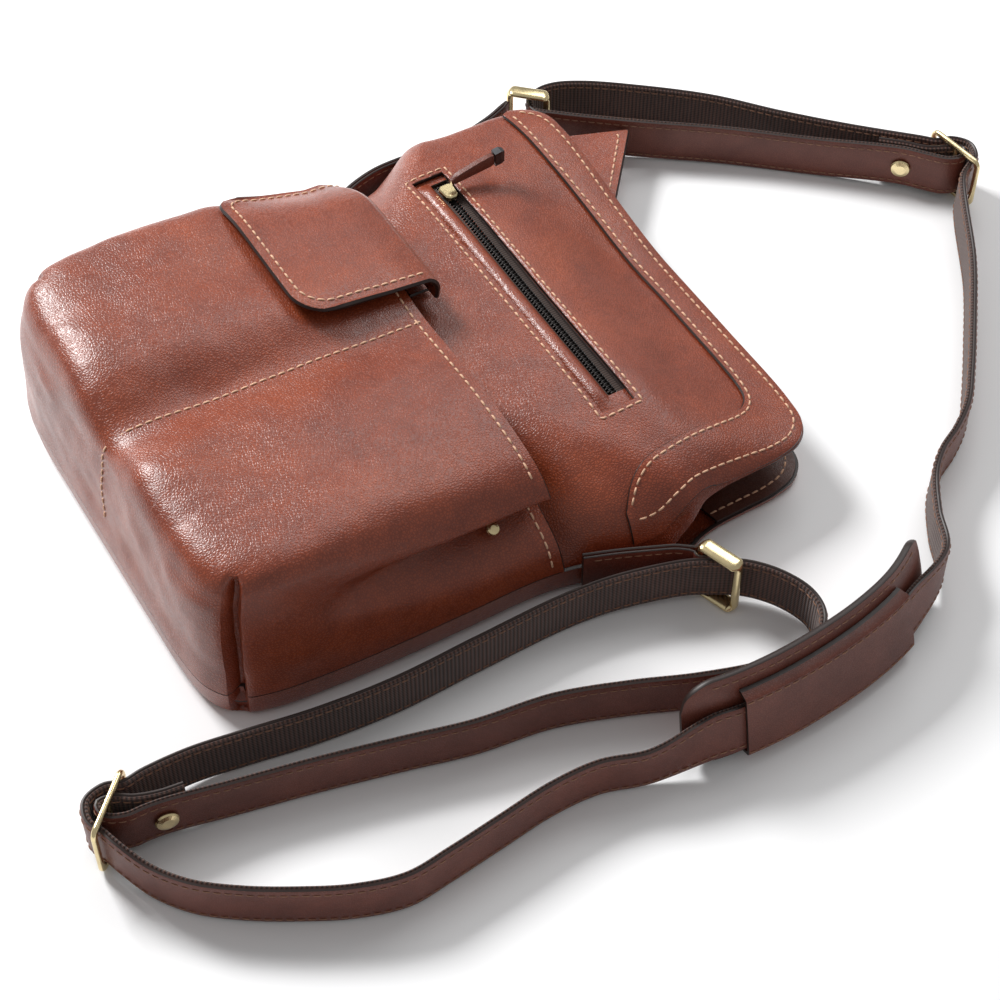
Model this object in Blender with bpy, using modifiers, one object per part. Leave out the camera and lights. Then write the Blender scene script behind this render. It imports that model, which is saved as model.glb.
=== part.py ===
"""Leather shoulder bag lying on its back, with a long strap laid on edge beside it.

X runs across the bag, Y from the base to the mouth and Z out of the front face.
Lengths are written in millimetres and turned into metres when a mesh is made.
"""

import bpy
import bmesh
import numpy as np
from mathutils import Vector
from mathutils.bvhtree import BVHTree

MM = 0.001

# Driving dimensions
LEATHER = 1.8
GAP = 0.4
BASE_Y = -155.0
RIM_Z = 14.0
TONGUE_RIM_Z = 3.6
FRONT_Z = 49.5
FRONT_EDGE_Z = 8.4
LIP_Z = 27.0
FAR_LIP_LIFT = 14.0
MOUTH_Y = -3.0
SEAM_BASE_Z = 71.0
SEAM_MOUTH_Z = 62.0
NEAR_BULGE = (6.0, 1.5)
FAR_BULGE = (10.0, 4.0)
VALLEY_WIDTH = 17.0
PLEAT_Z = 38.5
PLEAT_RISE = 12.0
PLEAT_DEPTH = 17.0
PLEAT_DROOP = 4.0
PLEAT_Y = -125.0
NEAR_SLOPE = (1.6, 4.2)
FAR_SLOPE = (1.3, 4.6)
FLAP_DRAPE = (20.0, 4.0)
FLAP_CREST_X = -66.0
FACING_Z = 4.7
FACING_INSET = 12.5
BAND_LIFT = 1.3
FLAP_X = (-97.0, -14.0)
FLAP_END_Y = -51.0
FLAP_HINGE_Y = 11.0
FLAP_LIFT = 4.8
ZIP_X = (-92.0, 74.0)
ZIP_Y = (37.0, 62.0)
SLOT_X = (-86.0, 64.0)
SLOT_Y = (46.5, 55.5)
STRAP_W = 22.0
LEATHER_T = 1.4
WEBBING_T = 1.2
RIVET_R = 4.75
BAR_R = 1.15
RING_H = 30.0
RING_L = 18.0
CENTRE = (0.0, -15.0)

# Right half of the bag's plan outline, from the base round to the lip
HALF_OUTLINE = [(0, -155), (40, -155), (70, -154.5), (88, -151.5), (98.5, -143.5), (103.5, -130),
                (106.5, -105), (108, -75), (108.5, -45), (109, -15), (111.5, 2), (116.5, 17), (121.5, 30),
                (124, 41), (122, 52), (117.5, 60), (115.5, 70), (115, 85), (114.5, 99),
                (111.5, 111), (104, 118.5), (90, 121), (45, 121.5), (0, 121.5)]

# Lip band in plan: pairs of outer and inner points, from the +X shoulder round the lip to the -X edge
BAND = [(115.5, 27, 108, 27.5), (117.8, 39, 101, 34.5), (116.8, 50, 97, 43), (114.6, 59, 95.2, 52),
        (113.8, 70, 93.2, 66), (113.6, 85, 91.5, 80), (113.2, 99, 89.6, 91.5), (110.4, 110, 87, 98),
        (103.2, 117.2, 82, 102.5), (90, 119.7, 74, 104.5), (45, 120.3, 40, 105.5), (0, 120.3, 0, 105.5),
        (-45, 120.3, -40, 104.5), (-90, 119.7, -78, 102.5), (-103.2, 117.2, -96, 101.5),
        (-110.4, 110, -107, 100.5), (-112.4, 105, -111, 100)]

# Strap route in plan, as x, y and the height of the lower edge
NEAR_SLIDE = (124.0, -208.0)
FAR_SLIDE = (-0.5, 280.5)
NEAR_D = (0.7071, -0.7071)
FAR_D = (0.9947, 0.1030)
NEAR_POST = (136.0, 46.0)
NEAR_OUT = (0.949, 0.316)
FAR_POST = (-139.5, 121.0)
FAR_OUT = (0.693, 0.721)
ON_TABLE = 0.6
ON_BARS = 3.4
TAIL = [(-15.4, 23.9), (-9.8, 16.3), (-5.8, 8.0), (-4.0, 0.6), (0.0, -4.0), (4.0, 0.4),
        (2.0, 7.5), (-2.6, 12.8), (-7.0, 18.4)]
TURN = [(-17.0, 7.0), (-10.6, 1.8), (-7.6, -4.6), (0.0, -8.8), (7.6, -5.0), (10.6, 2.0), (14.2, 9.0)]
FAR_TAIL = [(-27.4, 23.2), (-18.2, 15.3), (-9.6, 9.0), (-4.3, 1.2), (0.0, -4.1), (4.0, 0.2),
            (1.4, 6.2), (-6.0, 11.6), (-15.9, 18.0)]
MIDDLE = [(136.3, -164, ON_TABLE), (143, -134, ON_TABLE), (151.7, -100, ON_TABLE),
          (159, -72.5, ON_TABLE), (164, -41, ON_TABLE), (174, -12.5, ON_TABLE),
          (184, 11, ON_TABLE), (191.5, 33, ON_TABLE), (195, 50, ON_TABLE), (192, 63.5, ON_TABLE),
          (184, 71, 1.0), (174, 72.3, 1.6), (162, 67.5, 2.6), (151.2, 58.6, ON_BARS),
          (144.2, 48.6, ON_BARS), (138.6, 38.5, ON_BARS), (132.0, 20, 2.4), (128, 4, 1.4),
          (126, -14, ON_TABLE), (126.3, -52, ON_TABLE), (126.8, -90, ON_TABLE),
          (123.8, -123, ON_TABLE), (119, -150, ON_TABLE), (116.2, -172, 1.6)]
RETURN = [(153, -205.5, ON_TABLE), (166.5, -195.5, ON_TABLE), (178.5, -180.5, ON_TABLE),
          (189, -163.5, ON_TABLE), (198, -146, ON_TABLE), (203.6, -127, ON_TABLE),
          (202.4, -108, ON_TABLE), (200, -86, ON_TABLE), (197.5, -62, ON_TABLE),
          (198.4, -42, ON_TABLE), (204.6, -23, 1.2)]
UP_RIGHT = [(183.6, 132.0, 1.8), (166, 142, ON_TABLE), (149.5, 153.5, ON_TABLE), (140.5, 164, ON_TABLE),
            (134, 176.5, ON_TABLE), (125, 189.5, ON_TABLE), (111.5, 202, ON_TABLE),
            (85, 224, ON_TABLE), (58, 245, 1.2)]
FAR_WEB = [(-43.5, 249.5, ON_TABLE), (-67, 228, ON_TABLE), (-94, 205.5, ON_TABLE),
           (-119, 176, 1.4), (-131.5, 157, 2.6), (-136.6, 144.5, ON_BARS), (-137.2, 136, ON_BARS),
           (-133.6, 128.4, ON_BARS), (-126.4, 126.6, ON_BARS), (-119.4, 133.5, ON_BARS),
           (-111, 145, 2.4), (-95, 167, 1.2), (-72.5, 197.5, ON_TABLE), (-43.5, 231, ON_TABLE)]
PAD_LINE = [(205.4, -8), (208.9, 8), (210.5, 25), (210.4, 46), (207.0, 76), (200.6, 99.5),
            (191.6, 116), (184.5, 123.5)]
PAD_W = 41.0
PAD_T = 4.0
PAD_LEAN = 0.24


def fresh_collection(name):
    coll = bpy.data.collections.new(name)
    bpy.context.scene.collection.children.link(coll)
    return coll


def material(name, colour, metallic=0.0, rough=0.5):
    mat = bpy.data.materials.new(name)
    mat.use_nodes = True
    shader = mat.node_tree.nodes["Principled BSDF"]
    shader.inputs["Base Color"].default_value = (*colour, 1.0)
    shader.inputs["Metallic"].default_value = metallic
    shader.inputs["Roughness"].default_value = rough
    return mat


for old in list(bpy.data.objects):
    bpy.data.objects.remove(old)
BAG = fresh_collection("leather_shoulder_bag")
CUTTERS = fresh_collection("cutters")
MATS = {
    "bag_leather": material("bag_leather", (0.26, 0.07, 0.028), 0.0, 0.4),
    "strap_leather": material("strap_leather", (0.10, 0.032, 0.02), 0.0, 0.45),
    "webbing": material("webbing", (0.035, 0.015, 0.01), 0.0, 0.8),
    "brass": material("brass", (0.78, 0.62, 0.30), 1.0, 0.25),
    "zip_tape": material("zip_tape", (0.06, 0.03, 0.02), 0.0, 0.8),
    "lining": material("lining", (0.16, 0.12, 0.08), 0.0, 0.8),
    "gunmetal": material("gunmetal", (0.12, 0.12, 0.12), 1.0, 0.35),
    "magnet_steel": material("magnet_steel", (0.55, 0.55, 0.55), 1.0, 0.35),
}


def body(name, verts, faces, mat, origin=(0, 0, 0), coll=None):
    """A closed mesh object from millimetre points, its origin at a millimetre point."""
    mesh = bpy.data.meshes.new(name)
    base = np.asarray(origin, float)
    mesh.from_pydata(((np.asarray(verts, float) - base) * MM).tolist(), [], [list(f) for f in faces])
    work = bmesh.new()
    work.from_mesh(mesh)
    bmesh.ops.remove_doubles(work, verts=work.verts, dist=0.00001)
    bmesh.ops.recalc_face_normals(work, faces=work.faces)
    work.to_mesh(mesh)
    work.free()
    mesh.materials.append(MATS[mat])
    obj = bpy.data.objects.new(name, mesh)
    obj.location = (base * MM).tolist()
    (coll or BAG).objects.link(obj)
    return obj


def thicken(verts, faces, thick):
    """A sheet made solid by a second layer, thick behind its outer faces."""
    pts = np.asarray(verts, float)
    normal = np.zeros_like(pts)
    uses = {}
    for f in faces:
        for k in range(len(f)):
            a, b, c = pts[f[k - 1]], pts[f[k]], pts[f[(k + 1) % len(f)]]
            normal[f[k]] += np.cross(b - a, c - b)
            edge = (f[k], f[(k + 1) % len(f)])
            uses[edge] = uses.get(edge, 0) + 1
    normal /= np.maximum(np.linalg.norm(normal, axis=1, keepdims=True), 1e-9)
    count = len(pts)
    out = [tuple(f) for f in faces] + [tuple(i + count for i in reversed(f)) for f in faces]
    for a, b in uses:
        if (b, a) not in uses:
            out.append((b, a, a + count, b + count))
    return np.vstack([pts, pts - normal * thick]), out


def grid_faces(rows, cols, wrap=False):
    faces = []
    for i in range(rows - 1):
        for j in range(cols if wrap else cols - 1):
            k = (j + 1) % cols
            faces.append((i * cols + j, i * cols + k, (i + 1) * cols + k, (i + 1) * cols + j))
    return faces


def loft(name, rings, mat, loop=False, origin=(0, 0, 0), coll=None):
    """A solid through closed sections; loop joins the last section to the first."""
    rows, cols = len(rings), len(rings[0])
    verts = [p for ring in rings for p in ring]
    faces = grid_faces(rows, cols, wrap=True)
    if loop:
        last = (rows - 1) * cols
        faces += [(last + j, last + (j + 1) % cols, (j + 1) % cols, j) for j in range(cols)]
    else:
        faces += [tuple(range(cols - 1, -1, -1)), tuple((rows - 1) * cols + j for j in range(cols))]
    return body(name, verts, faces, mat, origin, coll)


def smooth(points, step):
    """Points step apart along a smooth curve through the given ones."""
    pts = np.asarray(points, float)
    ends = np.vstack([2 * pts[0] - pts[1], pts, 2 * pts[-1] - pts[-2]])
    fine = []
    for k in range(len(pts) - 1):
        p0, p1, p2, p3 = ends[k:k + 4]
        t0, t1, t2, t3 = np.cumsum([0] + [max(np.linalg.norm(b - a), 1e-6) ** 0.5
                                          for a, b in ((p0, p1), (p1, p2), (p2, p3))])
        for t in np.linspace(t1, t2, 24, endpoint=False):
            a1 = (t1 - t) / (t1 - t0) * p0 + (t - t0) / (t1 - t0) * p1
            a2 = (t2 - t) / (t2 - t1) * p1 + (t - t1) / (t2 - t1) * p2
            a3 = (t3 - t) / (t3 - t2) * p2 + (t - t2) / (t3 - t2) * p3
            b1 = (t2 - t) / (t2 - t0) * a1 + (t - t0) / (t2 - t0) * a2
            b2 = (t3 - t) / (t3 - t1) * a2 + (t - t1) / (t3 - t1) * a3
            fine.append((t2 - t) / (t2 - t1) * b1 + (t - t1) / (t2 - t1) * b2)
    fine = np.array(fine + [pts[-1]])
    along = np.concatenate([[0], np.cumsum(np.linalg.norm(np.diff(fine, axis=0), axis=1))])
    if step is None:
        return fine, along
    at = np.linspace(0, along[-1], max(2, int(round(along[-1] / step)) + 1))
    return np.stack([np.interp(at, along, fine[:, k]) for k in range(fine.shape[1])], axis=1)


def thin_line(pts, within):
    """The points of a line that are needed to stay within a distance of it."""
    keep = {0, len(pts) - 1}
    todo = [(0, len(pts) - 1)]
    while todo:
        a, b = todo.pop()
        if b - a < 2:
            continue
        d = pts[b] - pts[a]
        rest = pts[a + 1:b] - pts[a]
        t = np.clip(rest @ d / max(d @ d, 1e-12), 0, 1)
        away = np.linalg.norm(rest - t[:, None] * d, axis=1)
        far = int(away.argmax())
        if away[far] > within or b - a > 12:
            mid = a + 1 + far if away[far] > within else (a + b) // 2
            keep.add(mid)
            todo += [(a, mid), (mid, b)]
    return pts[sorted(keep)]


def side_of(line):
    """The unit normals in plan, to the right of a line's direction."""
    d = np.gradient(line[:, :2], axis=0)
    d /= np.maximum(np.linalg.norm(d, axis=1, keepdims=True), 1e-9)
    return np.stack([d[:, 1], -d[:, 0]], axis=1)


def ribbon_rings(line, width, inner, outer, lean=None, ends=None):
    """Sections of a strip on edge: line holds x, y and the lower edge's height."""
    side = side_of(line)
    rings = []
    for k, (p, n) in enumerate(zip(line, side)):
        tilt = lean[k] if lean is not None else 0.0
        up = np.array([-n[0] * tilt, -n[1] * tilt, (1 - tilt * tilt) ** 0.5])
        low, high = (0.0, width) if ends is None else ends[k]
        out = np.array([n[0] * up[2], n[1] * up[2], tilt])
        start = np.array([p[0], p[1], p[2]])
        rings.append([start + up * low + out * inner, start + up * low + out * outer,
                      start + up * high + out * outer, start + up * high + out * inner])
    return rings


def outline(step):
    """The bag's closed plan outline, from the base's middle round by the +X side."""
    right = smooth(HALF_OUTLINE, step)
    left = right[-2:0:-1] * np.array([-1, 1])
    return np.vstack([right, left])


LOOP = outline(11.5)
LOOP_ANGLE = np.unwrap(np.arctan2(LOOP[:, 1] - CENTRE[1], LOOP[:, 0] - CENTRE[0]))
LOOP_R = np.hypot(LOOP[:, 0] - CENTRE[0], LOOP[:, 1] - CENTRE[1])


def ease(t):
    t = np.clip(t, 0, 1)
    return t * t * (3 - 2 * t)


def rim_height(y):
    return RIM_Z + (TONGUE_RIM_Z - RIM_Z) * ease((y - 38) / 24)


def lip_height(x):
    """The lip's height, which rises towards the -X side."""
    return LIP_Z + FAR_LIP_LIFT * ease(-x / 110)


def front_edge_z(x, y):
    return FRONT_EDGE_Z + (lip_height(x) - FRONT_EDGE_Z) * ease((y - 34) / 28)


def front_top(x, y):
    rise = 36 + (FRONT_Z - 36) * ease((y + 120) / 100)
    return rise + (lip_height(x) + 3 - FRONT_Z) * ease((y - 52) / 70)


def arch(s, y):
    """How far the front panel has risen at a share of the way from its middle to its edge; low behind the pocket."""
    free = ease((y + 2) / 24)
    power = 1.25 + 0.75 * free
    t = np.clip((1 - s) / 0.62, 0, 1)
    return (1 - (1 - t) ** power) ** (1 / power)


def inset_loop(inset):
    """The outline moved in along its own normals."""
    d = np.roll(LOOP, -1, axis=0) - np.roll(LOOP, 1, axis=0)
    d /= np.linalg.norm(d, axis=1, keepdims=True)
    return LOOP - np.stack([d[:, 1], -d[:, 0]], axis=1) * inset


# Back panel: a flat floor with a rim turned up all round
def back_panel():
    rim = rim_height(LOOP[:, 1])
    rows = []
    for inset, low, share in ((9.0, 0.0, 0.0), (3.2, 0.0, 0.06), (0.7, 0.0, 0.26), (0.0, 0.0, 0.6),
                              (0.0, 0.0, 1.0)):
        rows.append(np.column_stack([inset_loop(inset), low + share * rim]))
    for inset, share in ((LEATHER, 1.0), (LEATHER, 0.6), (LEATHER + 0.9, 0.3), (4.6, 0.08), (9.4, 0.0)):
        rows.append(np.column_stack([inset_loop(inset), LEATHER + share * (rim - LEATHER)]))
    cols = len(LOOP)
    verts = np.vstack(rows)
    faces = grid_faces(len(rows), cols, wrap=True)
    faces.append(tuple(range(cols - 1, -1, -1)))
    faces.append(tuple((len(rows) - 1) * cols + j for j in range(cols)))
    return body("back_panel", verts, faces, "bag_leather")


# Front panel: an arched sheet that stands inside the rim and ends in the lip
def front_sheet():
    mix = ease((LOOP[:, 1] - 44) / 16)[:, None]
    edge = inset_loop(LEATHER + 0.9) * (1 - mix) + inset_loop(0.4) * mix
    edge_z = front_edge_z(LOOP[:, 0], LOOP[:, 1])
    shares = (1.0, 0.975, 0.94, 0.89, 0.82, 0.73, 0.6, 0.45, 0.28, 0.12)
    rows = []
    for s in shares:
        xy = np.array(CENTRE) + (edge - np.array(CENTRE)) * s
        rise = arch(s, xy[:, 1])
        rows.append(np.column_stack([xy, edge_z + (front_top(xy[:, 0], xy[:, 1]) - edge_z) * rise]))
    verts = np.vstack(rows + [np.array([[*CENTRE, front_top(*CENTRE)]])])
    cols = len(edge)
    faces = grid_faces(len(rows), cols, wrap=True)
    last = (len(rows) - 1) * cols
    faces += [(last + j, last + (j + 1) % cols, len(verts) - 1) for j in range(cols)]
    return verts, faces


def cutter_box(name, low, high):
    (x0, y0, z0), (x1, y1, z1) = low, high
    verts = [(x, y, z) for x in (x0, x1) for y in (y0, y1) for z in (z0, z1)]
    faces = [(0, 1, 3, 2), (4, 6, 7, 5), (0, 4, 5, 1), (2, 3, 7, 6), (0, 2, 6, 4), (1, 5, 7, 3)]
    obj = body(name, verts, faces, "lining", coll=CUTTERS)
    obj.hide_render = True
    obj.display_type = "WIRE"
    return obj


def cut(obj, cutter, how="DIFFERENCE"):
    mod = obj.modifiers.new("cut", "BOOLEAN")
    mod.operation = how
    mod.solver = "EXACT"
    mod.object = cutter


def cylinder(centre, axis, radius, length, sides=16):
    """Points and faces of a plain cylinder along an axis."""
    a = Vector(axis).normalized()
    u = a.orthogonal().normalized()
    w = a.cross(u)
    verts = []
    for end in (-0.5, 0.5):
        for k in range(sides):
            t = 2 * np.pi * k / sides
            verts.append(Vector(centre) + a * (end * length) + u * (radius * np.cos(t)) + w * (radius * np.sin(t)))
    faces = [(k, (k + 1) % sides, sides + (k + 1) % sides, sides + k) for k in range(sides)]
    faces += [tuple(range(sides - 1, -1, -1)), tuple(range(sides, 2 * sides))]
    return [tuple(v) for v in verts], faces


def turned(centre, axis, profile, sides=16):
    """Points and faces of a body turned about an axis, from (radius, height) pairs."""
    a = Vector(axis).normalized()
    u = a.orthogonal().normalized()
    w = a.cross(u)
    verts, faces = [], []
    for r, h in profile:
        for k in range(sides):
            t = 2 * np.pi * k / sides
            verts.append(tuple(Vector(centre) + a * h + u * (r * np.cos(t)) + w * (r * np.sin(t))))
    for i in range(len(profile) - 1):
        for k in range(sides):
            j = (k + 1) % sides
            faces.append((i * sides + k, i * sides + j, (i + 1) * sides + j, (i + 1) * sides + k))
    faces += [tuple(range(sides - 1, -1, -1)),
              tuple((len(profile) - 1) * sides + k for k in range(sides))]
    return verts, faces


def group(names, pieces, mat, origin=(0, 0, 0)):
    """One object for each of several separate solids."""
    for name, (verts, faces) in zip(names, pieces):
        body(name, verts, faces, mat, origin)


def box(low, high):
    (x0, y0, z0), (x1, y1, z1) = low, high
    verts = [(x, y, z) for x in (x0, x1) for y in (y0, y1) for z in (z0, z1)]
    faces = [(0, 1, 3, 2), (4, 6, 7, 5), (0, 4, 5, 1), (2, 3, 7, 6), (0, 2, 6, 4), (1, 5, 7, 3)]
    return verts, faces


back_panel()
SHEET_V, SHEET_F = front_sheet()
front_v, front_f = thicken(SHEET_V, SHEET_F, LEATHER)
front = body("front_panel", front_v, front_f, "bag_leather")
cut(front, cutter_box("zip_slot_cutter", (SLOT_X[0], SLOT_Y[0], 25), (SLOT_X[1], SLOT_Y[1], 60)))
FRONT_TREE = BVHTree.FromPolygons([Vector(p) for p in SHEET_V], SHEET_F)
count = len(SHEET_V)
UNDER_TREE = BVHTree.FromPolygons([Vector(p) for p in front_v[count:]], SHEET_F)


def on_front(x, y):
    """The height of the front panel's outer face."""
    hit = FRONT_TREE.ray_cast(Vector((x, y, 200)), Vector((0, 0, -1)))[0]
    return hit.z if hit else float(front_edge_z(x, y))


def under_front(x, y):
    hit = UNDER_TREE.ray_cast(Vector((x, y, 200)), Vector((0, 0, -1)))[0]
    return hit.z if hit else float(front_edge_z(x, y)) - LEATHER


# Lip band: a facing sewn round the tongue of the front panel
def tongue_indices():
    ys = LOOP[:, 1]
    order = [k for k in range(len(LOOP)) if ys[k] > 57]
    return order


def lip_band():
    pairs = smooth(BAND, 9.0)
    rows = []
    for share in np.linspace(0, 1, 5):
        row = []
        for ox, oy, ix, iy in pairs:
            x, y = ox + (ix - ox) * share, oy + (iy - oy) * share
            at, normal, _, _ = FRONT_TREE.find_nearest(Vector((x, y, on_front(x, y))))
            normal = normal if normal.z > 0 else -normal
            row.append(tuple(at + normal * (LEATHER - 0.4 + BAND_LIFT)))
        rows.append(row)
    verts = np.array([p for row in rows for p in row])
    faces = grid_faces(len(rows), len(pairs))
    v, f = thicken(verts, faces, LEATHER - 0.4)
    return body("lip_band", v, f, "bag_leather")


def back_facing():
    order = tongue_indices()
    outer = inset_loop(LEATHER + 3.4)[order]
    inner = inset_loop(FACING_INSET)[order]
    z0 = FACING_Z - 1.3
    z1 = FACING_Z
    rings = [[(a[0], a[1], z0), (a[0], a[1], z1), (b[0], b[1], z1), (b[0], b[1], z0)]
             for a, b in zip(outer, inner)]
    return loft("back_lip_facing", rings, "bag_leather")


lip_band()
back_facing()


# Pocket: a boxed panel that stands on the rim, with a stitched valley between its two halves
def pocket_top(x, y):
    """Heights over the pocket: a sewn valley along the middle and a bulge on each side of it."""
    t = np.clip((y + 142) / (MOUTH_Y + 142), 0, 1)
    seam = SEAM_BASE_Z + (SEAM_MOUTH_Z - SEAM_BASE_Z) * t ** 1.2
    near = NEAR_BULGE[0] + (NEAR_BULGE[1] - NEAR_BULGE[0]) * t ** 2
    far = FAR_BULGE[0] + (FAR_BULGE[1] - FAR_BULGE[0]) * t ** 2
    return seam + np.where(x > 0, near, far) * (1 - np.exp(-(x / VALLEY_WIDTH) ** 2))


def pleat(p):
    """Moves of the pocket's side walls: each folds in, deepest at the mouth, and its upper part droops over the fold."""
    wall = ease((np.abs(p[:, 0]) - 58) / 26)
    along = ease((p[:, 1] - PLEAT_Y) / (MOUTH_Y - 20 - PLEAT_Y))
    above = p[:, 2] - (PLEAT_Z + PLEAT_RISE * (1 - along))
    fold = np.exp(-(above / np.where(above > 0, 6.0, 8.5)) ** 2)
    droop = np.exp(-((above - 17) / 7.0) ** 2)
    deep = np.where(p[:, 0] > 0, 1.0, 0.6) * along * wall
    return np.sign(p[:, 0]) * (PLEAT_DEPTH * fold - 2.0 * droop) * deep, PLEAT_DROOP * droop * deep


def wall_slopes(edge):
    """How much faster the pocket's walls lean in at its sides than at its base."""
    near = NEAR_SLOPE[0] + (NEAR_SLOPE[1] - NEAR_SLOPE[0]) * ease((edge[:, 1] + 145) / 120)
    far = FAR_SLOPE[0] + (FAR_SLOPE[1] - FAR_SLOPE[0]) * ease((edge[:, 1] + 62) / 58)
    return np.where(edge[:, 0] > 0, near, far)


def pocket_sheet():
    below = [k for k in range(len(LOOP)) if LOOP[k, 1] < MOUTH_Y - 3]
    # the outline starts at the base's middle, so the far side comes first when it is put in order
    order = sorted(below, key=lambda k: k if LOOP[k, 0] >= 0 else k - len(LOOP))
    edge = LOOP[order] * np.array([0.999, 1.0])
    side = float(np.interp(MOUTH_Y, [p[1] for p in HALF_OUTLINE[:11]], [p[0] for p in HALF_OUTLINE[:11]]))
    edge = np.vstack([[-side, MOUTH_Y], edge, [side, MOUTH_Y]])
    rows = []
    walls = ((0.0, 0.0), (0.008, 0.2), (0.015, 0.4), (0.023, 0.6), (0.028, 0.68), (0.033, 0.77), (0.047, 0.89),
             (0.07, 0.96), (0.105, 0.99), (0.16, 1.0), (0.25, 1.0), (0.38, 1.0), (0.54, 1.0), (0.74, 1.0), (0.9, 1.0))
    slope = wall_slopes(edge)
    for move, share in walls:
        narrow = (1 - move) * (1 - min(move, 0.16)) ** (slope - 1)
        xy = np.column_stack([edge[:, 0] * narrow, MOUTH_Y + (edge[:, 1] - MOUTH_Y) * (1 - move)])
        top = pocket_top(xy[:, 0], xy[:, 1])
        low = RIM_Z + 3 * GAP
        rows.append(np.column_stack([xy, low + (top - low) * share]))
    verts = np.vstack(rows + [np.array([[0.0, MOUTH_Y, float(pocket_top(0.0, MOUTH_Y))]])])
    cols = len(edge)
    faces = grid_faces(len(rows), cols)
    last = (len(rows) - 1) * cols
    faces += [(last + j, last + j + 1, len(verts) - 1) for j in range(cols - 1)]
    fold, droop = pleat(verts)
    verts[:, 0] -= fold
    verts[:, 2] -= droop
    return verts, faces


POCKET_V, POCKET_F = pocket_sheet()
pocket_v, pocket_f = thicken(POCKET_V, POCKET_F, LEATHER)
body("pocket_panel", pocket_v, pocket_f, "bag_leather")
POCKET_TREE = BVHTree.FromPolygons([Vector(p) for p in POCKET_V], POCKET_F)
count = len(POCKET_V)
POCKET_UNDER = BVHTree.FromPolygons([Vector(p) for p in pocket_v[count:]], POCKET_F)


def on_pocket(x, y):
    hit = POCKET_TREE.ray_cast(Vector((x, y, 200)), Vector((0, 0, -1)))[0]
    return hit.z if hit else SEAM_MOUTH_Z


# Divider: the web sewn between the pocket's valley and the front panel
def divider():
    rings = []
    for y in np.linspace(MOUTH_Y - 4, BASE_Y + 16, 22):
        hit = POCKET_UNDER.ray_cast(Vector((0.01, y, 30)), Vector((0, 0, 1)))[0]
        top = (hit.z if hit else 50) - 0.7
        low = on_front(0.01, y) + 0.7
        rings.append([(-0.8, y, low), (0.8, y, low), (0.8, y, top), (-0.8, y, top)])
    return loft("pocket_divider", rings, "bag_leather")


divider()


# Flap over the pocket on the -X side
def highest_near(x, y):
    """The pocket's greatest height within 4 mm along it and towards the flap's middle."""
    inward = 4.0 if x < 0.5 * (FLAP_X[0] + FLAP_X[1]) else -4.0
    return max(on_pocket(x + dx, y + dy) for dx in (0, inward) for dy in (-4, 0, 4))


def flap_rest(x, y):
    """The height that the flap lies at: on the pocket, and stiff where it hangs past the pocket's far side."""
    beyond = min(1.0, max(0.0, (FLAP_CREST_X - x) / (FLAP_CREST_X - FLAP_X[0]))) ** 2
    share = min(1.0, max(0.0, (-8 - y) / (-8 - FLAP_END_Y)))
    drape = FLAP_DRAPE[0] + (FLAP_DRAPE[1] - FLAP_DRAPE[0]) * share
    stiff = on_pocket(FLAP_CREST_X, y) - drape * beyond if x < FLAP_CREST_X else 0.0
    return max(highest_near(x, y), stiff)


def flap():
    columns = np.linspace(FLAP_X[0], FLAP_X[1], 11)
    ys = np.array([-9, -16, -24, -32, -39, -45, -49, FLAP_END_Y])
    middle = 0.5 * (FLAP_X[0] + FLAP_X[1])
    half = 0.5 * (FLAP_X[1] - FLAP_X[0])
    verts = []
    hinge_z = on_front(middle, FLAP_HINGE_Y) + 2.6
    rise = [flap_rest(x, -8) + FLAP_LIFT - hinge_z - 2.6 for x in columns]
    roll = ((0.2, 0.0), (0.9, 0.34), (-0.8, 0.66), (-4.6, 0.88), (-11.0, 0.99))
    for dy, share in roll:
        verts += [(x, FLAP_HINGE_Y + dy, hinge_z + 2.6 + share * max(h, 4.0) + LEATHER) for x, h in zip(columns, rise)]
    for y in ys:
        for x in columns:
            t = (x - middle) / half
            # the free end's corners are rounded
            over = max(0.0, abs(t) - 0.72) / 0.28
            yy = y + (12.0 * (1 - (1 - over ** 2) ** 0.5) * ease((-y - 28) / 22))
            xx = x
            z = flap_rest(xx, yy)
            verts.append((xx, yy, z + FLAP_LIFT + LEATHER))
    rows = len(roll) + len(ys)
    faces = [tuple(reversed(f)) for f in grid_faces(rows, len(columns))]
    v, f = thicken(np.array(verts), faces, LEATHER + 0.4)
    origin = (middle, FLAP_HINGE_Y, hinge_z)
    body("flap", v, f, "bag_leather", origin)
    strip = []
    for x in columns:
        low, high = FLAP_HINGE_Y - 9, FLAP_HINGE_Y + 1
        z = max(on_front(x, y) for y in np.linspace(low, high, 5)) + GAP + 0.5
        strip.append([(x, low, z), (x, high, z), (x, high, z + LEATHER), (x, low, z + LEATHER)])
    loft("flap_root_strip", strip, "bag_leather")
    return origin


FLAP_ORIGIN = flap()
MAGNET_XY = (0.5 * (FLAP_X[0] + FLAP_X[1]), -37.0)
magnet_z = max(on_pocket(MAGNET_XY[0] + a, MAGNET_XY[1] + b) for a in (-6, 0, 6) for b in (-6, 0, 6))
body("flap_magnet_lower", *turned((*MAGNET_XY, magnet_z + 0.25), (0, 0, 1), [(6.5, 0), (7, 0.3), (7, 0.9), (6.5, 1.2)]),
     "magnet_steel")
body("flap_magnet_upper", *turned((*MAGNET_XY, magnet_z + 1.8), (0, 0, 1), [(6.2, 0), (6.6, 0.3), (6.6, 0.9), (6.2, 1.2)]),
     "magnet_steel", FLAP_ORIGIN)


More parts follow.
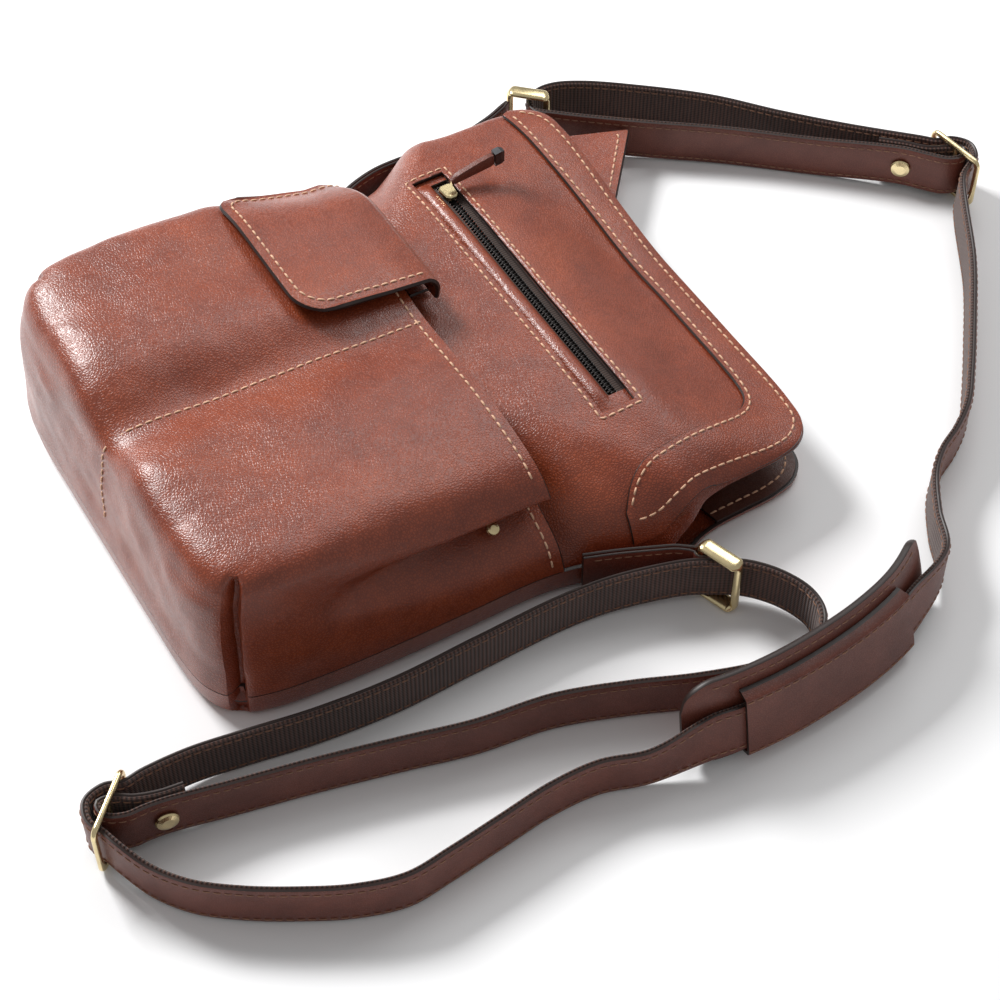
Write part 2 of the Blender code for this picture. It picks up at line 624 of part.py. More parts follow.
# Zip pocket in the front panel
def zip_frame():
    outer = [(ZIP_X[0], ZIP_Y[0]), (ZIP_X[1], ZIP_Y[0]), (ZIP_X[1], ZIP_Y[1]), (ZIP_X[0], ZIP_Y[1])]
    inner = [(SLOT_X[0] + 1, SLOT_Y[0] + 1), (SLOT_X[1] - 1, SLOT_Y[0] + 1), (SLOT_X[1] - 1, SLOT_Y[1] - 1),
             (SLOT_X[0] + 1, SLOT_Y[1] - 1)]
    counts = (14, 3, 14, 3)
    rings = []
    for side in range(4):
        for k in range(counts[side]):
            t = k / counts[side]
            o = np.array(outer[side]) * (1 - t) + np.array(outer[(side + 1) % 4]) * t
            i = np.array(inner[side]) * (1 - t) + np.array(inner[(side + 1) % 4]) * t
            # the frame lies on the panel and bridges its slot
            zo = on_front(*o) + GAP + 0.7
            out_dir = (o - i) / np.linalg.norm(o - i)
            at = i + out_dir * 2.5
            zi = on_front(*at) + GAP + 0.7
            rings.append([(o[0], o[1], zo), (o[0], o[1], zo + 1.3), (i[0], i[1], zi + 1.3), (i[0], i[1], zi)])
    return loft("zip_frame", rings, "bag_leather", loop=True)


zip_frame()
ZIP_MID = 0.5 * (SLOT_Y[0] + SLOT_Y[1])


def strip_along(x0, x1, y0, y1, height, thick, count=15):
    rings = []
    for x in np.linspace(x0, x1, count):
        z = height(x)
        rings.append([(x, y0, z), (x, y1, z), (x, y1, z + thick), (x, y0, z + thick)])
    return rings


def slot_floor(x):
    return under_front(x, SLOT_Y[1] + 5) - 2.6


def solid_of(rings):
    rows, cols = len(rings), len(rings[0])
    faces = grid_faces(rows, cols, wrap=True)
    faces += [tuple(range(cols - 1, -1, -1)), tuple((rows - 1) * cols + j for j in range(cols))]
    return [p for ring in rings for p in ring], faces


# tapes hang under the panel at both sides of the slot, and the chain closes the gap between them
tape_pieces = [solid_of(strip_along(SLOT_X[0] - 5, SLOT_X[1] + 5, ZIP_MID + 2.1, ZIP_MID + 13, slot_floor, 0.8)),
               solid_of(strip_along(SLOT_X[0] - 5, SLOT_X[1] + 5, ZIP_MID - 13, ZIP_MID - 2.1, slot_floor, 0.8))]
group(("zip_tape_upper", "zip_tape_lower"), tape_pieces, "zip_tape")
loft("zip_chain", strip_along(SLOT_X[0] + 2, SLOT_X[1] - 3, ZIP_MID - 1.8, ZIP_MID + 1.8, lambda x: slot_floor(x) - 0.4,
                              1.8), "brass")
group(("zip_stop_far", "zip_stop_near"), [box((SLOT_X[0] - 1.6, ZIP_MID - 1.8, slot_floor(SLOT_X[0]) - 0.4),
                        (SLOT_X[0] + 1.6, ZIP_MID + 1.8, slot_floor(SLOT_X[0]) + 1.6)),
                    box((SLOT_X[1] - 2.6, ZIP_MID - 1.8, slot_floor(SLOT_X[1]) - 0.4),
                        (SLOT_X[1] + 0.6, ZIP_MID + 1.8, slot_floor(SLOT_X[1]) + 1.6))], "brass")
SLIDER_X = SLOT_X[0] + 10.5
SLIDER_LENGTH = 9.0
slider_z = max(slot_floor(x) for x in np.linspace(SLOT_X[0], SLOT_X[1], 40)) + 1.9


def slider(name, at, mat, length=SLIDER_LENGTH, width=7.0, height=2.6):
    """A zip slider's top plate with rounded ends and a bridge for its puller."""
    x, y, z = at
    plan = [(-0.5, -0.3), (-0.35, -0.5), (0.35, -0.42), (0.5, -0.2), (0.5, 0.2), (0.35, 0.42), (-0.35, 0.5),
            (-0.5, 0.3)]
    rings = []
    for share, dz in ((0.9, 0.0), (1.0, 0.5), (1.0, height - 0.6), (0.86, height)):
        rings.append([(x + px * length * share, y + py * width * share, z + dz) for px, py in plan])
    return loft(name, rings, mat, origin=at)


slider("zip_slider", (SLIDER_X, ZIP_MID, slider_z), "brass")
PULL_Z = max(slider_z + 3.4, max(on_front(SLIDER_X, y) for y in np.linspace(ZIP_MID, ZIP_Y[1] + 14, 9)) + 3.2)


def puller(prefix, at, length, axis_up, mat, cap_mat, slope=0.10):
    """A leather puller on edge with a metal end, along +Y from its slider."""
    x, y, z = at
    rows = []
    for t, wide, tall in ((0.0, 1.0, 2.6), (0.12, 1.3, 4.2), (0.5, 1.5, 5.6), (0.80, 1.5, 6.2)):
        zz = z + slope * length * t
        yy = y + 1.0 + length * t
        rows.append([(x - wide, yy, zz), (x + wide, yy, zz), (x + wide, yy, zz + tall), (x - wide, yy, zz + tall)])
    loft(prefix + "_tab", rows, mat, origin=at)
    rows = []
    for t, wide, tall in ((0.815, 1.9, 6.8), (0.93, 1.9, 7.0), (1.0, 1.3, 6.0)):
        zz = z + slope * length * t - 0.3
        yy = y + 1.0 + length * t
        rows.append([(x - wide, yy, zz), (x + wide, yy, zz), (x + wide, yy, zz + tall), (x - wide, yy, zz + tall)])
    loft(prefix + "_end", rows, cap_mat, origin=at)


puller("zip_puller", (SLIDER_X, ZIP_MID, PULL_Z), 27.0, True, "strap_leather", "gunmetal")


def zip_bag():
    """The hidden flat pocket behind the zip: two layers joined at their ends."""
    rows = []
    x0, x1 = SLOT_X[0] - 8, SLOT_X[1] + 8
    for x in np.linspace(x0, x1, 13):
        top = min(slot_floor(x), under_front(x, 20) - 1, under_front(x, -30) - 1) - 2.2
        ring = [(x, ZIP_MID + 15, top), (x, ZIP_MID + 15, top - 4.2), (x, -46, top - 4.2), (x, -46, top),
                (x, ZIP_MID - 15, top), (x, ZIP_MID - 15, top - 0.8), (x, -45.2, top - 0.8),
                (x, -45.2, top - 3.4), (x, ZIP_MID + 14.2, top - 3.4), (x, ZIP_MID + 14.2, top)]
        rows.append(ring)
    return loft("zip_pocket_bag", rows, "lining")


zip_bag()

# Main zip across the mouth, between the two lips
MAIN_Y = 84.0
MAIN_Z = 13.5
MAIN_X = (-92.0, 92.0)
front_strip = []
back_strip = []
for x in np.linspace(MAIN_X[0] - 6, MAIN_X[1] + 6, 17):
    top = min(under_front(x, MAIN_Y - 2), under_front(x, MAIN_Y + 2)) - 0.6
    front_strip.append([(x, MAIN_Y - 0.8, MAIN_Z + 4.6), (x, MAIN_Y + 0.8, MAIN_Z + 4.6), (x, MAIN_Y + 0.8, top),
                        (x, MAIN_Y - 0.8, top)])
    back_strip.append([(x, MAIN_Y - 0.8, FACING_Z + 0.4), (x, MAIN_Y + 0.8, FACING_Z + 0.4),
                       (x, MAIN_Y + 0.8, MAIN_Z - 4.6), (x, MAIN_Y - 0.8, MAIN_Z - 4.6)])
loft("main_zip_strip_front", front_strip, "bag_leather")
loft("main_zip_strip_back", back_strip, "bag_leather")
group(("main_zip_tape_front", "main_zip_tape_back"), [box((MAIN_X[0], MAIN_Y - 1.9, MAIN_Z + 2.3), (MAIN_X[1], MAIN_Y - 1.1, MAIN_Z + 9)),
                         box((MAIN_X[0], MAIN_Y - 1.9, MAIN_Z - 9), (MAIN_X[1], MAIN_Y - 1.1, MAIN_Z - 2.3))],
      "zip_tape")
group(("main_zip_chain",), [box((MAIN_X[0] + 2, MAIN_Y - 2.3, MAIN_Z - 2.0), (MAIN_X[1] - 2, MAIN_Y - 0.7, MAIN_Z + 2.0))],
      "brass")
MAIN_SLIDER = (70.0, MAIN_Y + 1.2, MAIN_Z)


def main_slider():
    x, y, z = MAIN_SLIDER
    plan = [(-0.5, -0.3), (-0.35, -0.5), (0.35, -0.42), (0.5, -0.2), (0.5, 0.2), (0.35, 0.42), (-0.35, 0.5),
            (-0.5, 0.3)]
    rings = []
    for share, dy in ((0.9, 0.0), (1.0, 0.5), (1.0, 2.0), (0.86, 2.6)):
        rings.append([(x + px * 9 * share, y + dy, z + pz * 7 * share) for px, pz in plan])
    loft("main_zip_slider", rings, "brass", origin=MAIN_SLIDER)
    pin = (x, y + 4.0, z)
    rows = []
    for t, wide, thick in ((0.0, 2.0, 0.7), (0.2, 2.6, 1.0), (0.6, 3.0, 1.1), (0.92, 3.0, 1.1), (1.0, 2.2, 0.9)):
        xx = x - 1.5 - 24 * t
        rows.append([(xx, y + 4.0 - thick, z - wide), (xx, y + 4.0 + thick, z - wide), (xx, y + 4.0 + thick, z + wide),
                     (xx, y + 4.0 - thick, z + wide)])
    loft("main_zip_puller", rows, "strap_leather", origin=pin)


main_slider()


def tail_tab():
    """The leather end of the main zip, which pokes out of the mouth at the -X side."""
    corners = [(-112, 93, 13.0), (-74, 93, 13.0), (-56, 128, 14.5), (-96, 162, 17.5), (-112, 128, 15.0)]
    verts = [(x, y, z) for x, y, z in corners] + [(x, y, z + 2.8) for x, y, z in corners]
    n = len(corners)
    faces = [tuple(range(n - 1, -1, -1)), tuple(range(n, 2 * n))]
    faces += [(k, (k + 1) % n, n + (k + 1) % n, n + k) for k in range(n)]
    return body("main_zip_tail_tab", verts, faces, "bag_leather")


tail_tab()


# Side tabs folded round the ring posts, and the rings
def tab(name, path, post, turn_from, low, wide):
    """A strip on edge that runs to a post, round it and back along its own inner side."""
    line = smooth(path, 6.0)
    side = side_of(np.column_stack([line, np.zeros(len(line))]))
    out = line + side * 0.95
    back = line - side * 0.95
    start = np.arctan2(out[-1][1] - post[1], out[-1][0] - post[0])
    stop = np.arctan2(back[-1][1] - post[1], back[-1][0] - post[0])
    while turn_from * (stop - start) <= 0:
        stop += turn_from * 2 * np.pi
    round_it = [(post[0] + 3.1 * np.cos(a), post[1] + 3.1 * np.sin(a)) for a in np.linspace(start, stop, 14)[1:-1]]
    whole = np.vstack([out, round_it, back[::-1]])
    whole = np.column_stack([whole, np.full(len(whole), low)])
    return loft(name, ribbon_rings(whole, wide, -0.65, 0.65), "strap_leather")


NEAR_TAB = [(114.2, 3.5), (119.4, 17), (125.2, 30), (129.0, 38), (132.3, 42.4)]
FAR_TAB = [(-119.6, 17), (-125.2, 30), (-128.2, 42), (-128.6, 55), (-127.4, 70), (-128.4, 88), (-132.4, 105),
           (-136.4, 115.2)]
tab("side_tab_near", NEAR_TAB, NEAR_POST, 1, 4.6, 20.0)
tab("side_tab_far", FAR_TAB, FAR_POST, -1, 4.6, 20.0)


def ring(name, post, out, length, height):
    """A rectangular ring on edge: round posts at both ends, broad flat bars below and above."""
    px, py = post
    ux, uy = out
    vx, vy = -uy, ux
    half_h = height / 2 - 1.5
    mid_z = height / 2 + 0.3
    corner = 2.2
    path = []
    for cx, cz, a0 in ((length - corner, half_h - corner, 0), (corner, half_h - corner, 90),
                       (corner, -half_h + corner, 180), (length - corner, -half_h + corner, 270)):
        for a in (5, 30, 60, 85):
            t = np.radians(a0 + a)
            path.append((cx + corner * np.cos(t), cz + corner * np.sin(t), abs(np.sin(t))))
    rings = []
    for k, (s, z, flat) in enumerate(path):
        nx = path[(k + 1) % len(path)]
        pv = path[k - 1]
        d = np.array([nx[0] - pv[0], nx[1] - pv[1]])
        d /= np.linalg.norm(d)
        normal = (d[1], -d[0])
        wide = 1.7 + 1.9 * ease((flat - 0.3) / 0.6)
        thick = 1.6 - 0.2 * flat
        section = []
        for a in np.linspace(0, 2 * np.pi, 8, endpoint=False):
            w, h = wide * np.cos(a), thick * np.sin(a)
            ss, zz = s + normal[0] * h, z + normal[1] * h
            section.append((px + ux * ss + vx * w, py + uy * ss + vy * w, mid_z + zz))
        rings.append(section)
    return loft(name, rings, "brass", loop=True, origin=(px, py, mid_z))


ring("ring_near", NEAR_POST, NEAR_OUT, RING_L, RING_H)
ring("ring_far", FAR_POST, FAR_OUT, RING_L, RING_H)


def slide(name, centre, d):
    """A three-bar slide on edge: a frame with two windows, one on each side of its middle bar."""
    half, high, bar, rail = 15.6, 2 * ON_BARS + STRAP_W, BAR_R, 2.6
    cols = (-half, -half + rail, -bar, bar, half - rail, half)
    rows = (0.3, 0.3 + rail, high - 0.3 - rail, high - 0.3)
    full = [(i, j) for i in range(5) for j in range(3) if j != 1 or i in (0, 2, 4)]
    verts = [(centre[0] + d[0] * s - d[1] * w, centre[1] + d[1] * s + d[0] * w, z)
             for w in (-1.15, 1.15) for s in cols for z in rows]
    front = len(cols) * len(rows)
    uses = {}
    faces = []
    for i, j in full:
        a, b = i * 4 + j, (i + 1) * 4 + j
        quad = (a, b, b + 1, a + 1)
        faces.append(quad)
        faces.append(tuple(k + front for k in reversed(quad)))
        for k in range(4):
            uses[(quad[k], quad[(k + 1) % 4])] = True
    for a, b in uses:
        if (b, a) not in uses:
            faces.append((b, a, a + front, b + front))
    obj = body(name, verts, faces, "brass")
    mod = obj.modifiers.new("bevel", "BEVEL")
    mod.width = 0.0007
    mod.segments = 2
    mod.limit_method = "ANGLE"
    return obj


slide("strap_slide_near", NEAR_SLIDE, NEAR_D)
slide("strap_slide_far", FAR_SLIDE, FAR_D)


def local(centre, d, n, pts, z):
    return [(centre[0] + d[0] * s + n[0] * t, centre[1] + d[1] * s + n[1] * t, z) for s, t in pts]


NEAR_N = (-NEAR_D[1], NEAR_D[0])
FAR_N = (FAR_D[1], -FAR_D[0])
BRIDGE_ROOM = 4.35
LEAN_SCALE = 60.0


def frame_on_pad(p, n):
    """A pad station's up and outward directions, leaning with the pad."""
    up = np.array([-n[0] * PAD_LEAN, -n[1] * PAD_LEAN, (1 - PAD_LEAN ** 2) ** 0.5])
    return up, np.array([n[0] * up[2], n[1] * up[2], PAD_LEAN])


def through_pad():
    """The strap's stations under the pad's bridge, as x, y, lower edge and lean."""
    line = smooth([(x, y, 0.5) for x, y in PAD_LINE], 12.0)
    points = []
    for p, n in list(zip(line, side_of(line)))[1:-2]:
        up, out = frame_on_pad(p, n)
        at = p + up * 5.2 + out * BRIDGE_ROOM
        points.append((*at, PAD_LEAN * LEAN_SCALE))
    return points


def level(points):
    return [(x, y, z, 0.0) for x, y, z in points]


ROUTE = (level(local(NEAR_SLIDE, NEAR_D, NEAR_N, TAIL, ON_BARS) + MIDDLE
               + local(NEAR_SLIDE, NEAR_D, NEAR_N, TURN, ON_BARS) + RETURN)
         + through_pad()
         + level(UP_RIGHT + local(FAR_SLIDE, FAR_D, FAR_N, TURN[::-1], ON_BARS) + FAR_WEB
                 + local(FAR_SLIDE, FAR_D, FAR_N, FAR_TAIL[::-1], ON_BARS)))


def strap():
    line = thin_line(smooth(ROUTE, 1.5), 0.07)
    # the strap leans with the shoulder pad where it runs through it
    lean = line[:, 3] / LEAN_SCALE
    leather = loft("strap_leather_layer", ribbon_rings(line, STRAP_W, 0.4, 0.4 + LEATHER_T, lean), "strap_leather")
    webbing = loft("strap_webbing_layer", ribbon_rings(line, STRAP_W, -0.3 - WEBBING_T, -0.3, lean), "webbing")
    return leather, webbing


leather_layer, webbing_layer = strap()


# Rivets that hold the folded ends, through both layers of each
def rivet(centre, axis, reach):
    """A two-part cap rivet, from cap to cap along its axis."""
    head = reach + 0.25
    profile = [(RIVET_R * 0.55, -head - 1.7), (RIVET_R * 0.9, -head - 1.1), (RIVET_R, -head - 0.4), (RIVET_R, -head),
               (1.8, -head), (1.8, head), (RIVET_R, head), (RIVET_R, head + 0.4), (RIVET_R * 0.9, head + 1.1),
               (RIVET_R * 0.55, head + 1.7)]
    return turned(centre, axis, profile, 20)


def rivet_pair():
    pieces = []
    holes = []
    for centre, d, n, tail in ((NEAR_SLIDE, NEAR_D, NEAR_N, TAIL), (FAR_SLIDE, FAR_D, FAR_N, FAR_TAIL)):
        a = np.array(local(centre, d, n, [tail[1]], 0)[0][:2])
        b = np.array(local(centre, d, n, [tail[-1]], 0)[0][:2])
        mid = 0.5 * (a + b)
        axis = (b - a) / np.linalg.norm(b - a)
        spot = (mid[0], mid[1], ON_BARS + STRAP_W / 2)
        reach = 0.5 * np.linalg.norm(b - a) + 2.3
        pieces.append(rivet(spot, (axis[0], axis[1], 0), reach))
        holes.append(cylinder(spot, (axis[0], axis[1], 0), 2.2, 2 * reach + 3, 12))
    group(("strap_rivet_near", "strap_rivet_far"), pieces, "brass")
    for k, (v, f) in enumerate(holes):
        hole = body("rivet_hole_%d" % k, v, f, "brass", coll=CUTTERS)
        hole.hide_render = True
        hole.display_type = "WIRE"
        cut(leather_layer, hole)
        cut(webbing_layer, hole)


rivet_pair()


# Shoulder pad and the bridge that the strap runs under
def pad():
    line = smooth([(x, y, 0.5) for x, y in PAD_LINE], 6.0)
    count = len(line)
    lean = np.full(count, PAD_LEAN)
    ends = []
    for k in range(count):
        t = min(k, count - 1 - k) * 6.0
        cut_in = 13.0 * (1 - (1 - min(1.0, max(0.0, 1 - t / 15.0)) ** 2) ** 0.5)
        ends.append((cut_in, PAD_W - cut_in))
    loft("shoulder_pad", ribbon_rings(line, PAD_W, -PAD_T / 2, PAD_T / 2, lean, ends), "strap_leather")
    inside = line[4:-5]
    side = side_of(inside)
    rings = []
    for p, n in zip(inside, side):
        up, out = frame_on_pad(p, n)
        start = np.array([p[0], p[1], 0.5])
        near = PAD_T / 2 + 0.4
        face = near + 5.6
        shape = [(1.6, near), (3.2, face), (31.4, face), (33.6, near), (31.8, near), (30.0, face - 1.4),
                 (4.5, face - 1.4), (3.4, near)]
        rings.append([start + up * h + out * w for h, w in shape])
    loft("pad_bridge", rings, "strap_leather")


pad()


# Snaps that hold the pocket's side pleats
SNAP_PROFILE = [(0.9, 0), (0.9, 3.2), (2.6, 3.3), (2.9, 3.8), (2.5, 4.5), (1.3, 4.9)]


def snaps():
    pieces = []
    for side in (-1, 1):
        spot = Vector((side * 200, -26, PLEAT_Z - 5.0))
        hit, normal, _, _ = POCKET_TREE.ray_cast(spot, Vector((-side, 0, 0)))
        if normal.x * side < 0:
            normal = -normal
        at = hit + normal * 1.0
        pieces.append(turned(tuple(at), tuple(normal), SNAP_PROFILE, 16))
    group(("pocket_snap_far", "pocket_snap_near"), pieces, "brass")


snaps()
bpy.context.view_layer.update()
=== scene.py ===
"""Looks for the leather shoulder bag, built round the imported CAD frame.

X runs across the bag, Y from the base to the mouth and Z out of the front face.
Lengths are written in millimetres and turned into metres when a mesh is made.
"""

import math

import bpy
import numpy as np
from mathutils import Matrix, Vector
from mathutils.bvhtree import BVHTree

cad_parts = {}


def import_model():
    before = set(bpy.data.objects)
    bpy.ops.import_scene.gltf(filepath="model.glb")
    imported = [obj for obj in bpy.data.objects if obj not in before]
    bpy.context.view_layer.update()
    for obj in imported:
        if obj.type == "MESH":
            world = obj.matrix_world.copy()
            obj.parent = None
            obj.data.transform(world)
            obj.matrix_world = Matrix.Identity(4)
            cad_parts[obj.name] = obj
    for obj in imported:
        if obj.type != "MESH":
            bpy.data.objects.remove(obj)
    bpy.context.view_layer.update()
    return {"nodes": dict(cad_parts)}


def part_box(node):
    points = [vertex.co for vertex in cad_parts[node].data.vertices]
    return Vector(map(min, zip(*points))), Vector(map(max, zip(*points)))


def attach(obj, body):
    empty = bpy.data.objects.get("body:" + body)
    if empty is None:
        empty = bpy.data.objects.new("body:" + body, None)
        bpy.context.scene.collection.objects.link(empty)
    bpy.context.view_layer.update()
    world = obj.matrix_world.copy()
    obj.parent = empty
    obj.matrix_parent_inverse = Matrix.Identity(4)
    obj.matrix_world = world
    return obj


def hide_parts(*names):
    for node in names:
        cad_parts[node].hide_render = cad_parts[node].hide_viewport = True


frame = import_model()
NODES = frame["nodes"]
MM = 0.001

# Sizes shared with the CAD: leather, the back panel's rim and the front panel
LEATHER = 1.8
RIM_Z = 14.0
TONGUE_RIM_Z = 3.6
FRONT_Z = 49.5
FRONT_EDGE_Z = 8.4
LIP_Z = 27.0
FAR_LIP_LIFT = 14.0

# Pocket: its seam, bulges, side pleats, the lean of its walls and its corner darts
MOUTH_Y = -3.0
SEAM_BASE_Z = 71.0
SEAM_MOUTH_Z = 62.0
NEAR_BULGE = (6.0, 1.5)
FAR_BULGE = (10.0, 4.0)
VALLEY_WIDTH = 17.0
PLEAT_Z = 38.5
PLEAT_RISE = 12.0
PLEAT_DEPTH = 17.0
PLEAT_DROOP = 4.0
PLEAT_Y = -125.0
NEAR_SLOPE = (1.6, 4.2)
FAR_SLOPE = (1.3, 4.6)
DART_AT = (98.5, 143.5)
DART_DEPTH = 8.0
DART_WIDTH = 2.3

# Flap: its plan, its clearance, and how its far side hangs
FLAP_X = (-97.0, -14.0)
FLAP_MID = 0.5 * (FLAP_X[0] + FLAP_X[1])
FLAP_HALF = 0.5 * (FLAP_X[1] - FLAP_X[0])
FLAP_CORNERS = (8.0, 14.0)
FLAP_END_Y = -51.0
FLAP_TOP_Y = -8.5
FLAP_HINGE_Y = 11.0
HINGE_Z = 51.41
FLAP_LIFT = 4.8
FLAP_THICK = 2.4
FLAP_CREST_X = -66.0
FLAP_FAR_Z = (59.0, 72.5)
FLAP_FAR_DROP = 6.0

# Zip pocket: its frame, its slot and the window in the front leather
ZIP_X = (-92.0, 74.0)
ZIP_Y = (37.0, 62.0)
SLOT_X = (-86.0, 64.0)
SLOT_Y = (46.5, 55.5)
SLOT_ROOM = 0.3
WINDOW = (-88.5, 39.6, 70.5, 54.9)
LIP_RISE = 2.2

# Bag outline in plan, one half of it from the base to the mouth
CENTRE = np.array([0.0, -15.0])
HALF_OUTLINE = [(0, -155), (40, -155), (70, -154.5), (88, -151.5), (98.5, -143.5), (103.5, -130),
                (106.5, -105), (108, -75), (108.5, -45), (109, -15), (111.5, 2), (116.5, 17), (121.5, 30),
                (124, 41), (122, 52), (117.5, 60), (115.5, 70), (115, 85), (114.5, 99),
                (111.5, 111), (104, 118.5), (90, 121), (45, 121.5), (0, 121.5)]

# Lip band in plan: pairs of outer and inner points, from the +X shoulder round the lip to the -X edge
BAND = [(115.5, 27, 108, 27.5), (117.8, 39, 101, 34.5), (116.8, 50, 97, 43), (114.6, 59, 95.2, 52),
        (113.8, 70, 93.2, 66), (113.6, 85, 91.5, 80), (113.2, 99, 89.6, 91.5), (110.4, 110, 87, 98),
        (103.2, 117.2, 82, 102.5), (90, 119.7, 74, 104.5), (45, 120.3, 40, 105.5), (0, 120.3, 0, 105.5),
        (-45, 120.3, -40, 104.5), (-90, 119.7, -78, 102.5), (-103.2, 117.2, -96, 101.5),
        (-110.4, 110, -107, 100.5), (-112.4, 105, -111, 100)]

# The strap's route in plan, as x, y and the height of its lower edge where that isn't on the table
STRAP_W = 22.0
NEAR_SLIDE = (124.0, -208.0)
FAR_SLIDE = (-0.5, 280.5)
NEAR_D = (0.7071, -0.7071)
FAR_D = (0.9947, 0.1030)
NEAR_N = (-NEAR_D[1], NEAR_D[0])
FAR_N = (FAR_D[1], -FAR_D[0])
NEAR_POST = (136.0, 46.0)
FAR_POST = (-139.5, 121.0)
ON_TABLE = 0.6
ON_BARS = 3.4
BAR_R = 1.15
RING_H = 30.0
RING_L = 18.0
NEAR_OUT = (0.949, 0.316)
FAR_OUT = (0.693, 0.721)
TAIL = [(-15.4, 23.9), (-9.8, 16.3), (-5.8, 8.0), (-4.0, 0.6), (0.0, -4.0), (4.0, 0.4),
        (2.0, 7.5), (-2.6, 12.8), (-7.0, 18.4)]
TURN = [(-17.0, 7.0), (-10.6, 1.8), (-7.6, -4.6), (0.0, -8.8), (7.6, -5.0), (10.6, 2.0), (14.2, 9.0)]
FAR_TAIL = [(-27.4, 23.2), (-18.2, 15.3), (-9.6, 9.0), (-4.3, 1.2), (0.0, -4.1), (4.0, 0.2),
            (1.4, 6.2), (-6.0, 11.6), (-15.9, 18.0)]
MIDDLE = [(136.3, -164), (143, -134), (151.7, -100),
          (159, -72.5), (164, -41), (174, -12.5),
          (184, 11), (191.5, 33), (195, 50), (192, 63.5),
          (184, 71, 1.0), (174, 72.3, 1.6), (162, 67.5, 2.6), (151.2, 58.6, ON_BARS),
          (144.2, 48.6, ON_BARS), (138.6, 38.5, ON_BARS), (132.0, 20, 2.4), (128, 4, 1.4),
          (126, -14), (126.3, -52), (126.8, -90),
          (123.8, -123), (119, -150), (116.2, -172, 1.6)]
RETURN = [(153, -205.5), (166.5, -195.5), (178.5, -180.5),
          (189, -163.5), (198, -146), (203.6, -127),
          (202.4, -108), (200, -86), (197.5, -62),
          (198.4, -42), (204.6, -23, 1.2)]
UP_RIGHT = [(183.6, 132.0, 1.8), (166, 142), (149.5, 153.5),
            (140.5, 164), (134, 176.5), (125, 189.5),
            (111.5, 202), (85, 224), (58, 245, 1.2)]
FAR_WEB = [(-43.5, 249.5), (-67, 228), (-94, 205.5),
           (-119, 176, 1.4), (-131.5, 157, 2.6), (-136.6, 144.5, ON_BARS), (-137.2, 136, ON_BARS),
           (-133.6, 128.4, ON_BARS), (-126.4, 126.6, ON_BARS), (-119.4, 133.5, ON_BARS),
           (-111, 145, 2.4), (-95, 167, 1.2), (-72.5, 197.5), (-43.5, 231)]

# Shoulder pad, and the two side tabs
PAD_LINE = [(205.4, -8), (208.9, 8), (210.5, 25), (210.4, 46), (207.0, 76), (200.6, 99.5),
            (191.6, 116), (184.5, 123.5)]
PAD_W = 41.0
PAD_T = 4.0
PAD_LEAN = 0.24
BRIDGE_ROOM = 4.35
LEAN_SCALE = 60.0
TAB_LOW = 4.6
TAB_W = 20.0
TAB_BEND = 3.1
NEAR_TAB = [(114.2, 3.5), (119.4, 17), (125.2, 30), (129.0, 38), (132.3, 42.4)]
FAR_TAB = [(-119.6, 17), (-125.2, 30), (-128.2, 42), (-128.6, 55), (-127.4, 70), (-128.4, 88),
           (-132.4, 105), (-136.4, 115.2)]

# Stitches
PITCH = 4.2
THREAD_R = 0.44
STRAP_PITCH = 4.0
STRAP_THREAD_R = 0.28


# Camera
CAMERA_TARGET = Vector((0.055, 0.0, 0.0))
CAMERA_AWAY = 0.949
CAMERA_AZIMUTH = math.radians(59.31)
CAMERA_ELEVATION = math.radians(50.51)
CAMERA_LENS = 81.0
CAMERA_SENSOR = 36.0


def aim(obj, at):
    obj.rotation_euler = (at - obj.location).to_track_quat("-Z", "Y").to_euler()


def camera():
    data = bpy.data.cameras.new("camera")
    data.sensor_width = CAMERA_SENSOR
    data.lens = CAMERA_LENS
    data.clip_start = 0.01
    obj = bpy.data.objects.new("camera", data)
    bpy.context.scene.collection.objects.link(obj)
    flat = math.cos(CAMERA_ELEVATION)
    away = Vector((math.sin(CAMERA_AZIMUTH) * flat, -math.cos(CAMERA_AZIMUTH) * flat,
                   math.sin(CAMERA_ELEVATION)))
    obj.location = CAMERA_TARGET + away * CAMERA_AWAY
    aim(obj, CAMERA_TARGET)
    bpy.context.scene.camera = obj


camera()
bpy.context.scene.view_settings.view_transform = "Standard"


# Materials
def nodes_of(name):
    mat = bpy.data.materials.new(name)
    mat.use_nodes = True
    tree = mat.node_tree
    return mat, tree, tree.nodes["Principled BSDF"]


def add(tree, kind, **values):
    node = tree.nodes.new(kind)
    for key, value in values.items():
        if key in node.inputs:
            node.inputs[key].default_value = value
        else:
            setattr(node, key, value)
    return node


def ramp(tree, source, stops):
    node = tree.nodes.new("ShaderNodeValToRGB")
    band = node.color_ramp
    while len(band.elements) < len(stops):
        band.elements.new(0.5)
    for element, (at, colour) in zip(band.elements, stops):
        element.position = at
        element.color = (*colour, 1.0)
    tree.links.new(source, node.inputs["Fac"])
    return node.outputs["Color"]


def multiply(tree, amount, a, b):
    node = tree.nodes.new("ShaderNodeMix")
    node.data_type = "RGBA"
    node.blend_type = "MULTIPLY"
    node.inputs["Factor"].default_value = amount
    tree.links.new(a, node.inputs["A"])
    tree.links.new(b, node.inputs["B"])
    return node.outputs["Result"]


def object_place(tree):
    return add(tree, "ShaderNodeTexCoord").outputs["Object"]


def noise(tree, at, scale, **values):
    node = add(tree, "ShaderNodeTexNoise", Scale=scale, **values)
    tree.links.new(at, node.inputs["Vector"])
    return node.outputs


def remap(tree, source, limits, **values):
    node = add(tree, "ShaderNodeMapRange", **values)
    for key, value in limits.items():
        node.inputs[key].default_value = value
    tree.links.new(source, node.inputs["Value"])
    return node.outputs["Result"]


